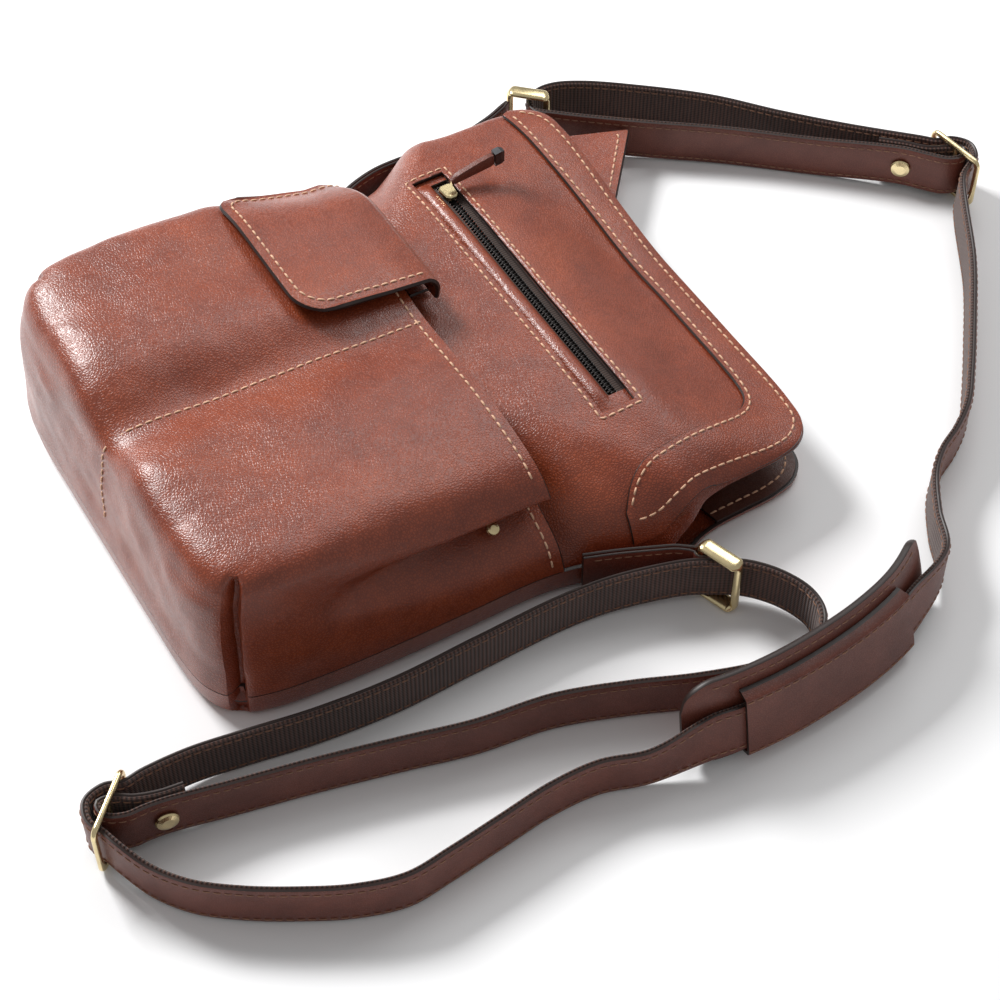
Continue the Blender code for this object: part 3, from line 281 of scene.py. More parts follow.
def calc(tree, how, first, second=0.0, third=0.0):
    """A sum on node outputs and plain numbers."""
    node = add(tree, "ShaderNodeMath", operation=how)
    for socket, value in zip(node.inputs, (first, second, third)):
        if isinstance(value, float):
            socket.default_value = value
        else:
            tree.links.new(value, socket)
    return node.outputs["Value"]


def bumped(tree, height, strength, distance, normal=None):
    node = add(tree, "ShaderNodeBump", Strength=strength, Distance=distance)
    tree.links.new(height, node.inputs["Height"])
    if normal is not None:
        tree.links.new(normal, node.inputs["Normal"])
    return node.outputs["Normal"]


def leather(name, deep, mid, pale, cell, height, rough, coat, slack=0.0):
    """Grained leather: pebbles cell metres across, darker between them, uneven dye, and slack creases."""
    mat, tree, shader = nodes_of(name)
    at = object_place(tree)
    shift = add(tree, "ShaderNodeVectorMath", operation="MULTIPLY_ADD")
    tree.links.new(noise(tree, at, 0.35 / cell, Detail=2.0)["Color"], shift.inputs[0])
    shift.inputs[1].default_value = (cell, cell, cell)
    tree.links.new(at, shift.inputs[2])
    grain = add(tree, "ShaderNodeTexVoronoi", Scale=1.0 / cell, feature="DISTANCE_TO_EDGE")
    tree.links.new(shift.outputs["Vector"], grain.inputs["Vector"])
    pebble = remap(tree, grain.outputs["Distance"], {"From Max": 0.32}, interpolation_type="SMOOTHSTEP")
    fine = noise(tree, at, 3.2 / cell, Detail=3.0)["Fac"]
    cloud = noise(tree, at, 24.0, Detail=4.0, Roughness=0.6)["Fac"]
    streak = noise(tree, at, 95.0, Detail=3.0, Roughness=0.65)["Fac"]
    dye = ramp(tree, cloud, [(0.25, deep), (0.5, mid), (0.78, pale)])
    spots = ramp(tree, streak, [(0.30, (0.86, 0.82, 0.80)), (0.7, (1.08, 1.07, 1.06))])
    furrow = ramp(tree, pebble, [(0.0, (0.60, 0.52, 0.50)), (0.8, (1, 1, 1))])
    colour = multiply(tree, 0.8, multiply(tree, 0.75, dye, spots), furrow)
    tree.links.new(colour, shader.inputs["Base Color"])
    gloss = remap(tree, streak, {"To Min": rough + 0.10, "To Max": rough - 0.05})
    tree.links.new(gloss, shader.inputs["Roughness"])
    relief = calc(tree, "MULTIPLY_ADD", fine, 0.25, pebble)
    creases = bumped(tree, noise(tree, at, 36.0, Detail=1.0, Distortion=0.3)["Fac"], 1.0, slack)
    for strength, socket in ((0.7, "Normal"), (0.4, "Coat Normal")):
        tree.links.new(bumped(tree, relief, strength, height, creases), shader.inputs[socket])
    shader.inputs["Specular IOR Level"].default_value = 0.38
    shader.inputs["Coat Weight"].default_value = coat
    shader.inputs["Coat Roughness"].default_value = 0.27
    return mat


def cloth(name, dark, light, rib, across, depth):
    """Woven tape: ribs of that many metres along U, with yarns across them along V."""
    mat, tree, shader = nodes_of(name)
    split = add(tree, "ShaderNodeSeparateXYZ")
    tree.links.new(add(tree, "ShaderNodeUVMap").outputs["UV"], split.inputs[0])
    ribs, yarns = (calc(tree, "SINE", calc(tree, "MULTIPLY", split.outputs[axis], 2 * math.pi / size))
                   for axis, size in (("X", rib), ("Y", across)))
    weave = calc(tree, "MULTIPLY_ADD", yarns, 0.35, ribs)
    level = remap(tree, weave, {"From Min": -1.35, "From Max": 1.35})
    tone = ramp(tree, level, [(0.15, dark), (0.85, light)])
    worn = noise(tree, object_place(tree), 60.0, Detail=3.0)["Fac"]
    uneven = ramp(tree, worn, [(0.3, (0.75, 0.75, 0.75)), (0.7, (1.2, 1.2, 1.2))])
    tree.links.new(multiply(tree, 0.8, tone, uneven), shader.inputs["Base Color"])
    tree.links.new(bumped(tree, level, 0.9, depth), shader.inputs["Normal"])
    shader.inputs["Roughness"].default_value = 0.85
    shader.inputs["Sheen Weight"].default_value = 0.25
    return mat


def plain(name, colour, rough, metal=0.0, mark=0.06, scale=180.0):
    """A finish with slight unevenness of tone and gloss."""
    mat, tree, shader = nodes_of(name)
    uneven = noise(tree, object_place(tree), scale, Detail=3.0)["Fac"]
    low = tuple(c * (1 - 2 * mark) for c in colour)
    high = tuple(min(1.0, c * (1 + 2 * mark)) for c in colour)
    tree.links.new(ramp(tree, uneven, [(0.3, low), (0.7, high)]), shader.inputs["Base Color"])
    gloss = remap(tree, uneven, {"To Min": max(0.03, rough - mark), "To Max": rough + mark})
    tree.links.new(gloss, shader.inputs["Roughness"])
    shader.inputs["Metallic"].default_value = metal
    return mat


BAG = leather("bag_leather", (0.195, 0.033, 0.0105), (0.262, 0.048, 0.0150), (0.325, 0.066, 0.0205),
              0.0012, 0.00014, 0.36, 0.50, 0.0008)
STRAP = leather("strap_leather", (0.125, 0.0310, 0.0185), (0.160, 0.0420, 0.0250), (0.200, 0.056, 0.0330),
                0.0008, 0.00008, 0.42, 0.15)
# The back lip's facing: the bag's own leather made much darker, which paints the shade that falls on it
# inside the mouth
SHADED_FACING = leather("facing_leather_painted_shade", (0.075, 0.022, 0.012), (0.10, 0.030, 0.016), (0.13, 0.04, 0.02),
                 0.0010, 0.00010, 0.42, 0.15)
EDGE = plain("painted_edge", (0.018, 0.008, 0.006), 0.45)
WEBBING = cloth("webbing", (0.022, 0.0090, 0.0062), (0.105, 0.046, 0.032), 0.0018, 0.0011, 0.0004)
TAPE = cloth("zip_tape", (0.02, 0.01, 0.007), (0.06, 0.03, 0.02), 0.0012, 0.0008, 0.0002)
LINING = cloth("lining", (0.11, 0.08, 0.05), (0.18, 0.135, 0.09), 0.0009, 0.0009, 0.0001)
THREAD = plain("thread", (0.66, 0.40, 0.26), 0.7, scale=900.0, mark=0.12)
STRAP_THREAD = plain("strap_thread", (0.25, 0.125, 0.075), 0.7, scale=900.0, mark=0.12)
BRASS = plain("brass", (0.80, 0.66, 0.38), 0.24, 1.0)
GUNMETAL = plain("gunmetal", (0.10, 0.10, 0.105), 0.35, 1.0)
TOOTH = plain("zip_tooth", (0.014, 0.011, 0.010), 0.5, 0.6)
STEEL = plain("magnet_steel", (0.55, 0.55, 0.55), 0.35, 1.0)


# Mesh helpers
EDGE_BULGE = 0.3


def unit(v):
    v = np.asarray(v, float)
    return v / np.maximum(np.linalg.norm(v, axis=-1, keepdims=True), 1e-9)


def ease(t):
    t = np.clip(t, 0, 1)
    return t * t * (3 - 2 * t)


def mix(a, b, t):
    return a + (b - a) * t


def smooth(points, step):
    """Points step apart along a smooth curve through the given ones."""
    pts = np.asarray(points, float)
    ends = np.vstack([2 * pts[0] - pts[1], pts, 2 * pts[-1] - pts[-2]])
    fine = []
    for k in range(len(pts) - 1):
        p0, p1, p2, p3 = ends[k:k + 4]
        t0, t1, t2, t3 = np.cumsum([0] + [max(np.linalg.norm(b - a), 1e-6) ** 0.5
                                          for a, b in ((p0, p1), (p1, p2), (p2, p3))])
        for t in np.linspace(t1, t2, 24, endpoint=False):
            a1 = (t1 - t) / (t1 - t0) * p0 + (t - t0) / (t1 - t0) * p1
            a2 = (t2 - t) / (t2 - t1) * p1 + (t - t1) / (t2 - t1) * p2
            a3 = (t3 - t) / (t3 - t2) * p2 + (t - t2) / (t3 - t2) * p3
            b1 = (t2 - t) / (t2 - t0) * a1 + (t - t0) / (t2 - t0) * a2
            b2 = (t3 - t) / (t3 - t1) * a2 + (t - t1) / (t3 - t1) * a3
            fine.append((t2 - t) / (t2 - t1) * b1 + (t - t1) / (t2 - t1) * b2)
    return resample(np.array(fine + [pts[-1]]), step)


def lengths(line):
    """How far along a line each of its points is."""
    return np.concatenate([[0], np.cumsum(np.linalg.norm(np.diff(line, axis=0), axis=1))])


def resample(line, step):
    """Points about step apart along a line."""
    line = np.asarray(line, float)
    along = lengths(line)
    at = np.linspace(0, along[-1], max(2, int(round(along[-1] / step)) + 1))
    return np.stack([np.interp(at, along, line[:, k]) for k in range(line.shape[1])], axis=1)


def grid_faces(rows, cols, wrap=False):
    """Four-sided faces between rows of points, closed round if wrapped."""
    faces = []
    for i in range(rows - 1):
        for j in range(cols if wrap else cols - 1):
            k = (j + 1) % cols
            faces.append((i * cols + j, i * cols + k, (i + 1) * cols + k, (i + 1) * cols + j))
    return faces


def make(name, verts, faces, mats, marks=None, uv=None, sharp=38.0):
    """A smooth mesh piece; marks choose each face's material, and edges past the sharp angle stay crisp."""
    mesh = bpy.data.meshes.new(name)
    mesh.from_pydata((np.asarray(verts, float) * MM).tolist(), [], [tuple(int(i) for i in f) for f in faces])
    for mat in mats:
        mesh.materials.append(mat)
    if marks is not None:
        mesh.polygons.foreach_set("material_index", np.asarray(marks, np.int32))
    mesh.polygons.foreach_set("use_smooth", np.ones(len(mesh.polygons), bool))
    if uv is not None:
        layer = mesh.uv_layers.new(name="UVMap")
        corners = np.zeros(len(mesh.loops), np.int32)
        mesh.loops.foreach_get("vertex_index", corners)
        layer.data.foreach_set("uv", np.asarray(uv, np.float32)[corners].ravel())
    mesh.update()
    mesh.set_sharp_from_angle(angle=math.radians(sharp))
    obj = bpy.data.objects.new(name, mesh)
    bpy.context.scene.collection.objects.link(obj)
    return obj


def box_of(node):
    """A CAD node's least and greatest corner."""
    return tuple(np.array(c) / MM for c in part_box(node))


def points_of(node):
    return np.array([v.co for v in NODES[node].data.vertices], float) / MM


def fit(obj, body, slot, *nodes):
    """Puts a piece on its body and hides the CAD nodes that it stands for; slot is not used."""
    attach(obj, body)
    if nodes:
        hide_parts(*nodes)
    return obj


def normals_of(pts, faces):
    """Each point's mean normal, weighted by its faces' corners."""
    normal = np.zeros_like(pts)
    for f in faces:
        for k in range(len(f)):
            a, b, c = pts[f[k - 1]], pts[f[k]], pts[f[(k + 1) % len(f)]]
            normal[f[k]] += np.cross(b - a, c - b)
    return unit(normal)


def shell(points, faces, thick):
    """A sheet made solid behind its outer faces, with rounded cut edges marked 1."""
    pts = np.asarray(points, float)
    normal = normals_of(pts, faces)
    count = len(pts)
    inner = pts - normal * thick
    edges = {(f[k], f[(k + 1) % len(f)]) for f in faces for k in range(len(f))}
    rim = {a: b for a, b in edges if (b, a) not in edges}
    before = {b: a for a, b in rim.items()}
    middle, extra = {}, []
    for a, b in rim.items():
        out = unit(np.cross(pts[b] - pts[before[a]], normal[a]))
        middle[a] = 2 * count + len(extra)
        extra.append(0.5 * (pts[a] + inner[a]) + out * thick * EDGE_BULGE)
    solid = [tuple(f) for f in faces] + [tuple(i + count for i in reversed(f)) for f in faces]
    marks = [0] * len(solid)
    for a, b in rim.items():
        solid += [(b, a, middle[a], middle[b]), (middle[b], middle[a], a + count, b + count)]
        marks += [1, 1]
    return np.vstack([pts, inner] + ([np.array(extra)] if extra else [])), solid, marks


def tube_faces(rows, cols, closed):
    """Faces of a tube of rings, joined end to end or capped."""
    faces = grid_faces(rows, cols, wrap=True)
    if closed:
        last = (rows - 1) * cols
        faces += [(last + j, last + (j + 1) % cols, (j + 1) % cols, j) for j in range(cols)]
    else:
        faces += [tuple(range(cols - 1, -1, -1)), tuple((rows - 1) * cols + j for j in range(cols))]
    return faces


def leather_piece(name, verts, faces, thick, node, body="bag"):
    """A sheet of the bag's leather with painted edges, in the place of a CAD node."""
    v, f, m = shell(verts, faces, thick)
    return fit(make(name, v, f, [BAG, EDGE], m), body, "bag_leather", node)


def stitches(name, lines, thread, body, slot, pitch, radius):
    """Thread along surface lines: each line is points with the surface's normals."""
    verts, faces = [], []
    sides = 6
    # each stitch's places along its pitch, with their heights and thicknesses in radii
    profile = ((-0.40, -0.55, 0.6), (-0.28, 0.30, 1.0), (0.0, 0.55, 1.1), (0.28, 0.30, 1.0),
               (0.40, -0.55, 0.6))
    for pts, normals in lines:
        pts, normals = np.asarray(pts, float), np.asarray(normals, float)
        along = lengths(pts)
        count = max(1, int(round(along[-1] / pitch)))
        step = along[-1] / count

        def at(values, s):
            return np.stack([np.interp(s, along, values[:, k]) for k in range(3)], axis=1)

        centres = (np.arange(count) + 0.5) * step
        rings = []
        for share, lift, size in profile:
            p = at(pts, centres + share * step)
            n = unit(at(normals, centres + share * step))
            t = unit(at(pts, centres + 0.3 * step) - at(pts, centres - 0.3 * step))
            b = unit(np.cross(n, t))
            mid = p + n * (radius * lift)
            rings.append(np.stack([mid + (n * math.cos(a) * 0.8 + b * math.sin(a)) * radius * size
                                   for a in np.linspace(0, 2 * math.pi, sides, endpoint=False)], axis=1))
        block = np.stack(rings, axis=1).reshape(count, -1, 3)
        one = tube_faces(len(profile), sides, False)
        for k in range(count):
            base = len(verts)
            verts += block[k].tolist()
            faces += [tuple(i + base for i in f) for f in one]
    return fit(make(name, verts, faces, [thread], sharp=80.0), body, slot)


def bag_seam(name, *lines, body="bag"):
    return stitches(name, lines, THREAD, body, "bag_leather", PITCH, THREAD_R)


def strap_seam(name, *lines):
    return stitches(name, lines, STRAP_THREAD, "bag", "strap_leather", STRAP_PITCH, STRAP_THREAD_R)


class Surface:
    """A sheet's outer faces, to set points on."""

    def __init__(self, verts, faces):
        self.tree = BVHTree.FromPolygons([Vector(p) for p in verts], [tuple(f) for f in faces])

    def down(self, x, y):
        """The highest point at a place in plan, or the nearest one, with its normal."""
        hit, normal, _, _ = self.tree.ray_cast(Vector((x, y, 300)), Vector((0, 0, -1)))
        if hit is None:
            hit, normal, _, _ = self.tree.find_nearest(Vector((x, y, 0.0)))
        normal = normal if normal.z >= 0 else -normal
        return np.array(hit), np.array(normal)

    def line(self, points, step=1.5):
        """A plan line laid on the sheet, as points and normals."""
        flat = resample(np.asarray(points, float)[:, :2], step)
        found = [self.down(x, y) for x, y in flat]
        pts, normals = (np.array(values) for values in zip(*found))
        for _ in range(2):
            normals[1:-1] = unit(normals[:-2] + normals[1:-1] * 2 + normals[2:])
        return pts, normals


def ripples(p, length, seed, count=7):
    """Smooth uneven waves of about that length, from -1 to 1, at each point."""
    rng = np.random.default_rng(seed)
    total = np.zeros(len(p))
    for _ in range(count):
        direction = unit(rng.normal(size=3))
        wave = 2 * math.pi / (length * rng.uniform(0.7, 1.4))
        total += np.sin(p @ direction * wave + rng.uniform(0, 6.3))
    return total / count ** 0.5 / 1.6


# Bag outline and panel shapes
def outline(step):
    right = smooth(HALF_OUTLINE, step)
    return np.vstack([right, right[-2:0:-1] * np.array([-1, 1])])


LOOP = outline(1.6)


def arch(s, y):
    """How far the front panel has risen at a share of the way out to its edge; low behind the pocket."""
    free = ease((y + 2) / 24)
    power = 1.25 + 0.75 * free
    t = np.clip((1 - s) / 0.62, 0, 1)
    return (1 - (1 - t) ** power) ** (1 / power)


def inset_loop(inset):
    """The bag's outline moved in by a distance."""
    d = unit(np.roll(LOOP, -1, axis=0) - np.roll(LOOP, 1, axis=0))
    return LOOP - np.stack([d[:, 1], -d[:, 0]], axis=1) * inset


def rim_height(y):
    """The back panel's rim, which is low along the mouth."""
    return mix(RIM_Z, TONGUE_RIM_Z, ease((y - 38) / 24))


def lip_height(x):
    """The lip's height, which rises towards the -X side."""
    return LIP_Z + FAR_LIP_LIFT * ease(-x / 110)


def front_edge_z(x, y):
    """The height of the front panel's edge, which rises to the lip."""
    return mix(FRONT_EDGE_Z, lip_height(x), ease((y - 34) / 28))


def front_top(x, y):
    """The height of the front panel's middle, falling to the base and to the lip."""
    rise = mix(36, FRONT_Z, ease((y + 120) / 100))
    return rise + (lip_height(x) + 3 - FRONT_Z) * ease((y - 52) / 70)


def dart(line):
    """How deep the darts at the base's two corners are, at each point of the outline."""
    beside = np.linalg.norm(np.abs(line[:, :2]) - np.array(DART_AT), axis=1)
    return DART_DEPTH * np.exp(-(beside / DART_WIDTH) ** 2)


def back_panel():
    """A flat back with a turned-up rim, notched by the corner darts."""
    rim = rim_height(LOOP[:, 1])
    profile = smooth([(9.0, 0.0), (4.4, 0.03), (1.6, 0.14), (0.35, 0.36), (0.0, 0.66), (0.0, 1.0)], 0.5)
    inner = [(LEATHER, 1.0), (LEATHER, 0.6), (LEATHER + 0.9, 0.3), (4.6, 0.08), (9.4, 0.0)]
    rows = [np.column_stack([inset_loop(a), b * rim]) for a, b in profile]
    outer = len(rows)
    rows += [np.column_stack([inset_loop(LEATHER / 2), rim + 0.25])]
    rows += [np.column_stack([inset_loop(a), mix(LEATHER, rim, b)]) for a, b in inner]
    cols = len(LOOP)
    faces = grid_faces(len(rows), cols, wrap=True)
    marks = []
    for i in range(len(rows) - 1):
        marks += [1 if outer - 1 <= i <= outer else 0] * cols
    faces += [tuple(range(cols - 1, -1, -1)), tuple((len(rows) - 1) * cols + j for j in range(cols))]
    verts = np.vstack(rows)
    groove = dart(verts) * ease(verts[:, 2] / 3)
    verts[:, 0] -= np.sign(verts[:, 0]) * 0.7 * groove
    verts[:, 1] += 0.7 * groove
    obj = make("back_leather", verts, faces, [BAG, EDGE], marks + [0, 0])
    return fit(obj, "bag", "bag_leather", "back_panel")


back_panel()


def front_panel():
    """An arched sheet from the rim up to the front and out to the lip."""
    lip = ease((LOOP[:, 1] - 44) / 16)[:, None]
    edge = inset_loop(LEATHER + 0.9) * (1 - lip) + inset_loop(0.4) * lip
    edge_z = front_edge_z(LOOP[:, 0], LOOP[:, 1])
    rows = []
    for s in np.concatenate([np.linspace(1.0, 0.55, 34), np.linspace(0.53, 0.03, 24)]):
        xy = CENTRE + (edge - CENTRE) * s
        rise = arch(s, xy[:, 1])
        rows.append(np.column_stack([xy, mix(edge_z, front_top(xy[:, 0], xy[:, 1]), rise)]))
    verts = np.vstack(rows + [np.array([[*CENTRE, front_top(*CENTRE)]])])
    cols = len(edge)
    faces = grid_faces(len(rows), cols, wrap=True)
    last = (len(rows) - 1) * cols
    faces += [(last + j, last + (j + 1) % cols, len(verts) - 1) for j in range(cols)]
    # soft unevenness that dies out at the edge and round the zip
    inside = ease((1 - np.hypot(verts[:, 0] / 118, (verts[:, 1] + 15) / 135)) * 6)
    calm = 1 - 0.8 * np.exp(-((verts[:, 1] - 48) / 18) ** 2)
    verts[:, 2] += (0.8 * ripples(verts, 62, 3) + 0.35 * ripples(verts, 27, 4)) * inside * calm - 0.3 * inside
    return verts, faces


FRONT_V, FRONT_F = front_panel()
FRONT = Surface(FRONT_V, FRONT_F)


def cut_slot(obj):
    """Opens the zip's window through the front panel."""
    low, high = (WINDOW[0], WINDOW[1], 25), (WINDOW[2], WINDOW[3], 60)
    verts = [(x, y, z) for x in (low[0], high[0]) for y in (low[1], high[1]) for z in (low[2], high[2])]
    faces = [(0, 1, 3, 2), (4, 6, 7, 5), (0, 4, 5, 1), (2, 3, 7, 6), (0, 2, 6, 4), (1, 5, 7, 3)]
    tool = make("slot_tool", verts, faces, [EDGE])
    mod = obj.modifiers.new("slot", "BOOLEAN")
    mod.operation = "DIFFERENCE"
    mod.solver = "EXACT"
    mod.object = tool
    bpy.context.view_layer.update()
    done = bpy.data.meshes.new_from_object(obj.evaluated_get(bpy.context.evaluated_depsgraph_get()))
    obj.modifiers.clear()
    obj.data = done
    bpy.data.objects.remove(tool)


front_v, front_f, front_m = shell(FRONT_V, FRONT_F, LEATHER)
front = make("front_leather", front_v, front_f, [BAG, EDGE], front_m)
cut_slot(front)
fit(front, "bag", "bag_leather", "front_panel")


# Pocket with its two bulges, side pleats and corner darts
def pocket_top(x, y):
    """Heights over the pocket: a sewn valley along the middle and a bulge on each side of it."""
    t = np.clip((y + 142) / (MOUTH_Y + 142), 0, 1)
    seam = mix(SEAM_BASE_Z, SEAM_MOUTH_Z, t ** 1.2)
    near = mix(*NEAR_BULGE, t ** 2)
    far = mix(*FAR_BULGE, t ** 2)
    return seam + np.where(x > 0, near, far) * (1 - np.exp(-(x / VALLEY_WIDTH) ** 2))


def pleat(p):
    """Moves of the pocket's side walls: each folds in, deepest at the mouth, and droops over its fold."""
    wall = ease((np.abs(p[:, 0]) - 58) / 26)
    along = ease((p[:, 1] - PLEAT_Y) / (MOUTH_Y - 20 - PLEAT_Y))
    above = p[:, 2] - (PLEAT_Z + PLEAT_RISE * (1 - along))
    fold = np.exp(-(above / np.where(above > 0, 6.0, 8.5)) ** 2)
    droop = np.exp(-((above - 17) / 7.0) ** 2)
    deep = np.where(p[:, 0] > 0, 1.0, 0.6) * along * wall
    return np.sign(p[:, 0]) * (PLEAT_DEPTH * fold - 2.0 * droop) * deep, PLEAT_DROOP * droop * deep


def wall_slopes(edge):
    """How much faster the pocket's walls lean in at its sides than at its base."""
    near = mix(*NEAR_SLOPE, ease((edge[:, 1] + 145) / 120))
    far = mix(*FAR_SLOPE, ease((edge[:, 1] + 62) / 58))
    return np.where(edge[:, 0] > 0, near, far)


def pocket_sheet():
    """The boxed pocket: rings from the outline up the walls and over the top to the mouth."""
    below = [k for k in range(len(LOOP)) if LOOP[k, 1] < MOUTH_Y - 1]
    order = sorted(below, key=lambda k: k if LOOP[k, 0] >= 0 else k - len(LOOP))
    edge = LOOP[order] * np.array([0.999, 1.0])
    side = float(np.interp(MOUTH_Y, [p[1] for p in HALF_OUTLINE[:11]], [p[0] for p in HALF_OUTLINE[:11]]))
    edge = np.vstack([[-side, MOUTH_Y], edge, [side, MOUTH_Y]])
    walls = smooth([(0.0, 0.0), (0.008, 0.2), (0.015, 0.4), (0.023, 0.6), (0.033, 0.77), (0.047, 0.89),
                    (0.07, 0.96), (0.105, 0.99), (0.16, 1.0), (0.25, 1.0), (0.36, 1.0), (0.48, 1.0),
                    (0.62, 1.0), (0.78, 1.0), (0.93, 1.0)], 0.024)
    slope = wall_slopes(edge)
    low = RIM_Z + 0.4
    rows = []
    for move, share in walls:
        narrow = (1 - move) * (1 - min(move, 0.16)) ** (slope - 1)
        xy = np.column_stack([edge[:, 0] * narrow, MOUTH_Y + (edge[:, 1] - MOUTH_Y) * (1 - move)])
        xy -= dart(edge)[:, None] * np.sign(xy) * 0.7 * ease((0.985 - share) / 0.12)
        rows.append(np.column_stack([xy, mix(low, pocket_top(xy[:, 0], xy[:, 1]), min(1.0, share))]))
    verts = np.vstack(rows + [np.array([[0.0, MOUTH_Y, float(pocket_top(0.0, MOUTH_Y))]])])
    cols = len(edge)
    faces = grid_faces(len(rows), cols)
    last = (len(rows) - 1) * cols
    faces += [(last + j, last + j + 1, len(verts) - 1) for j in range(cols - 1)]
    return soften(verts), faces


def soften(p):
    """The pleats at the pocket's sides, its corner darts and the leather's slack."""
    p = p.copy()
    side = np.sign(p[:, 0])
    wall = ease((np.abs(p[:, 0]) - 66) / 22)
    fold, droop = pleat(p)
    p[:, 0] -= fold
    p[:, 2] -= droop
    # slack over the top and the base wall
    free = ease((p[:, 2] - 18) / 14)
    waves = 1.3 * ripples(p, 70, 11) + 0.7 * ripples(p, 34, 12) + 0.25 * ripples(p, 15, 13)
    top = ease((p[:, 2] - 56) / 12)
    lift = waves * free * (0.55 + 0.45 * ease((-p[:, 1] - 60) / 60))
    p[:, 2] += lift * top - 0.9 * top
    base = ease((-p[:, 1] - 118) / 20) * (1 - top)
    p[:, 1] += lift * base
    p[:, 0] -= side * lift * wall * (1 - top) * (1 - base) * 0.8
    return p


POCKET_V, POCKET_F = pocket_sheet()
POCKET = Surface(POCKET_V, POCKET_F)
leather_piece("pocket_leather", POCKET_V, POCKET_F, LEATHER, "pocket_panel")


# Flap with rounded corners, rolled over the pocket's mouth
def soft_average(values, times):
    """A grid of heights with its bumps evened out."""
    for _ in range(times):
        values = np.pad(values, 1, mode="edge")
        values = (values[1:-1, 1:-1] * 2 + values[:-2, 1:-1] + values[2:, 1:-1]
                  + values[1:-1, :-2] + values[1:-1, 2:]) / 6
    return values


def flap_end(x):
    """Where the flap's free end is at a place across it, with round corners."""
    bend = FLAP_CORNERS[0] if x < FLAP_MID else FLAP_CORNERS[1]
    over = np.clip((abs(x - FLAP_MID) - (FLAP_HALF - bend)) / bend, 0, 1)
    return FLAP_END_Y + bend * (1 - math.sqrt(max(0.0, 1 - over * over)))


def flap():
    """The flap's outer sheet: rolled at its root and draped over the pocket."""
    turn = np.sin(np.linspace(-math.pi / 2, math.pi / 2, 47))
    columns = FLAP_MID + FLAP_HALF * (0.6 * turn + 0.4 * np.linspace(-1, 1, 47))
    shares = np.linspace(0, 1, 26)
    heights = np.zeros((len(shares), len(columns)))
    places, clear = np.zeros_like(heights), np.zeros_like(heights)
    for j, x in enumerate(columns):
        inward = 4.0 if x < FLAP_MID else -4.0
        for i, share in enumerate(shares):
            y = mix(FLAP_TOP_Y, flap_end(x), share)
            heights[i, j] = max(POCKET.down(x + dx, min(y + dy, MOUTH_Y - 1))[0][2]
                                for dx in (0, inward) for dy in (-4, 0, 4)) + FLAP_LIFT + 1.0
            clear[i, j] = POCKET.down(x, y)[0][2] + FLAP_THICK + 0.5
            places[i, j] = y
    # the far edge runs straight from its low root to the free end
    beyond = np.clip((FLAP_CREST_X - columns) / (FLAP_CREST_X - FLAP_X[0]), 0, 1) ** 2
    along = (-8 - places) / (-8 - FLAP_END_Y)
    straight = mix(*FLAP_FAR_Z, along)
    heights = np.maximum(clear, mix(heights, straight, beyond[None, :]))
    heights = np.maximum(clear, soft_average(heights, 8))
    low = HINGE_Z + 2.6 + LEATHER
    # the fold over the mouth: places behind the hinge line, shares of the rise, shares of the far side's drop
    roll = ((0.2, 0.0, 1.0), (0.9, 0.34, 1.0), (-0.8, 0.66, 1.0), (-4.6, 0.88, 1.0), (-11.0, 0.985, 0.5))
    grid = []
    for j, x in enumerate(columns):
        under = low - FLAP_FAR_DROP * beyond[j]
        rise = max(heights[0, j] - under, 4.0)
        path = [(FLAP_HINGE_Y + dy - drop * FLAP_FAR_DROP * beyond[j], under + share * rise)
                for dy, share, drop in roll]
        path += list(zip(places[:, j], heights[:, j]))
        line = resample(smooth(path[:6], 1.6)[:-1], 1.0)
        line = line[:: max(1, len(line) // 16)][:16]
        grid.append([(x, y, z) for y, z in list(line) + path[5:]])
    rows = min(len(column) for column in grid)
    verts = np.array([grid[j][i] for i in range(rows) for j in range(len(columns))])
    verts[:, 2] += 0.35 * ripples(verts, 38, 21)
    faces = [tuple(reversed(f)) for f in grid_faces(rows, len(columns))]
    return verts, faces


FLAP_V, FLAP_F = flap()
FLAP = Surface(FLAP_V, FLAP_F)
leather_piece("flap_leather", FLAP_V, FLAP_F, FLAP_THICK, "flap", body="flap")


def magnet(name, node, body, surface, down, thick):
    """A magnet's disc seated on draped leather: on top of it, or hung under it."""
    low, high = box_of(node)
    x, y, radius = 0.5 * (low[0] + high[0]), 0.5 * (low[1] + high[1]), 0.5 * (high[0] - low[0])
    p, n = (np.array(v) for v in surface.down(x, y))
    axis = -n if down else n
    base = p + axis * (FLAP_THICK if down else 0.0)
    side = unit(np.cross(axis, (0.0, 1.0, 0.0)))
    front = np.cross(axis, side)
    verts = [base + axis * z + (side * math.cos(a) + front * math.sin(a)) * radius * r
             for r, z in ((1.0, -0.5), (1.0, thick - 0.4), (0.94, thick), (0.5, thick), (0.46, thick - 0.3))
             for a in np.linspace(0, 2 * math.pi, 40, endpoint=False)]
    fit(make(name, verts, tube_faces(5, 40, False), [STEEL]), body, "magnet_steel", node)


magnet("lower_magnet_disc", "flap_magnet_lower", "bag", POCKET, False, 1.8)
magnet("upper_magnet_disc", "flap_magnet_upper", "flap", FLAP, True, 1.6)


def flap_seam(inset):
    """A line along the flap's three free edges."""
    half, end = FLAP_HALF - inset, FLAP_END_Y + inset
    line = [(FLAP_MID + half, 6.5)]
    for side, corner in ((1, FLAP_CORNERS[1]), (-1, FLAP_CORNERS[0])):
        bend = corner - 0.6 * inset
        turns = np.linspace(0, math.pi / 2, 8)[::side]
        line += [(FLAP_MID + side * (half - bend * (1 - math.cos(a))), end + bend * (1 - math.sin(a)))
                 for a in turns]
    return line + [(FLAP_MID - half, 6.5)]


bag_seam("flap_stitching", FLAP.line(flap_seam(3.8)), body="flap")


# Places across a strip, and the least width that gets a seam
SHARES = (0.0, 0.03, 0.1, 0.22, 0.36, 0.5, 0.64, 0.78, 0.9, 0.97, 1.0)
SEWN_WIDTH = 9.0


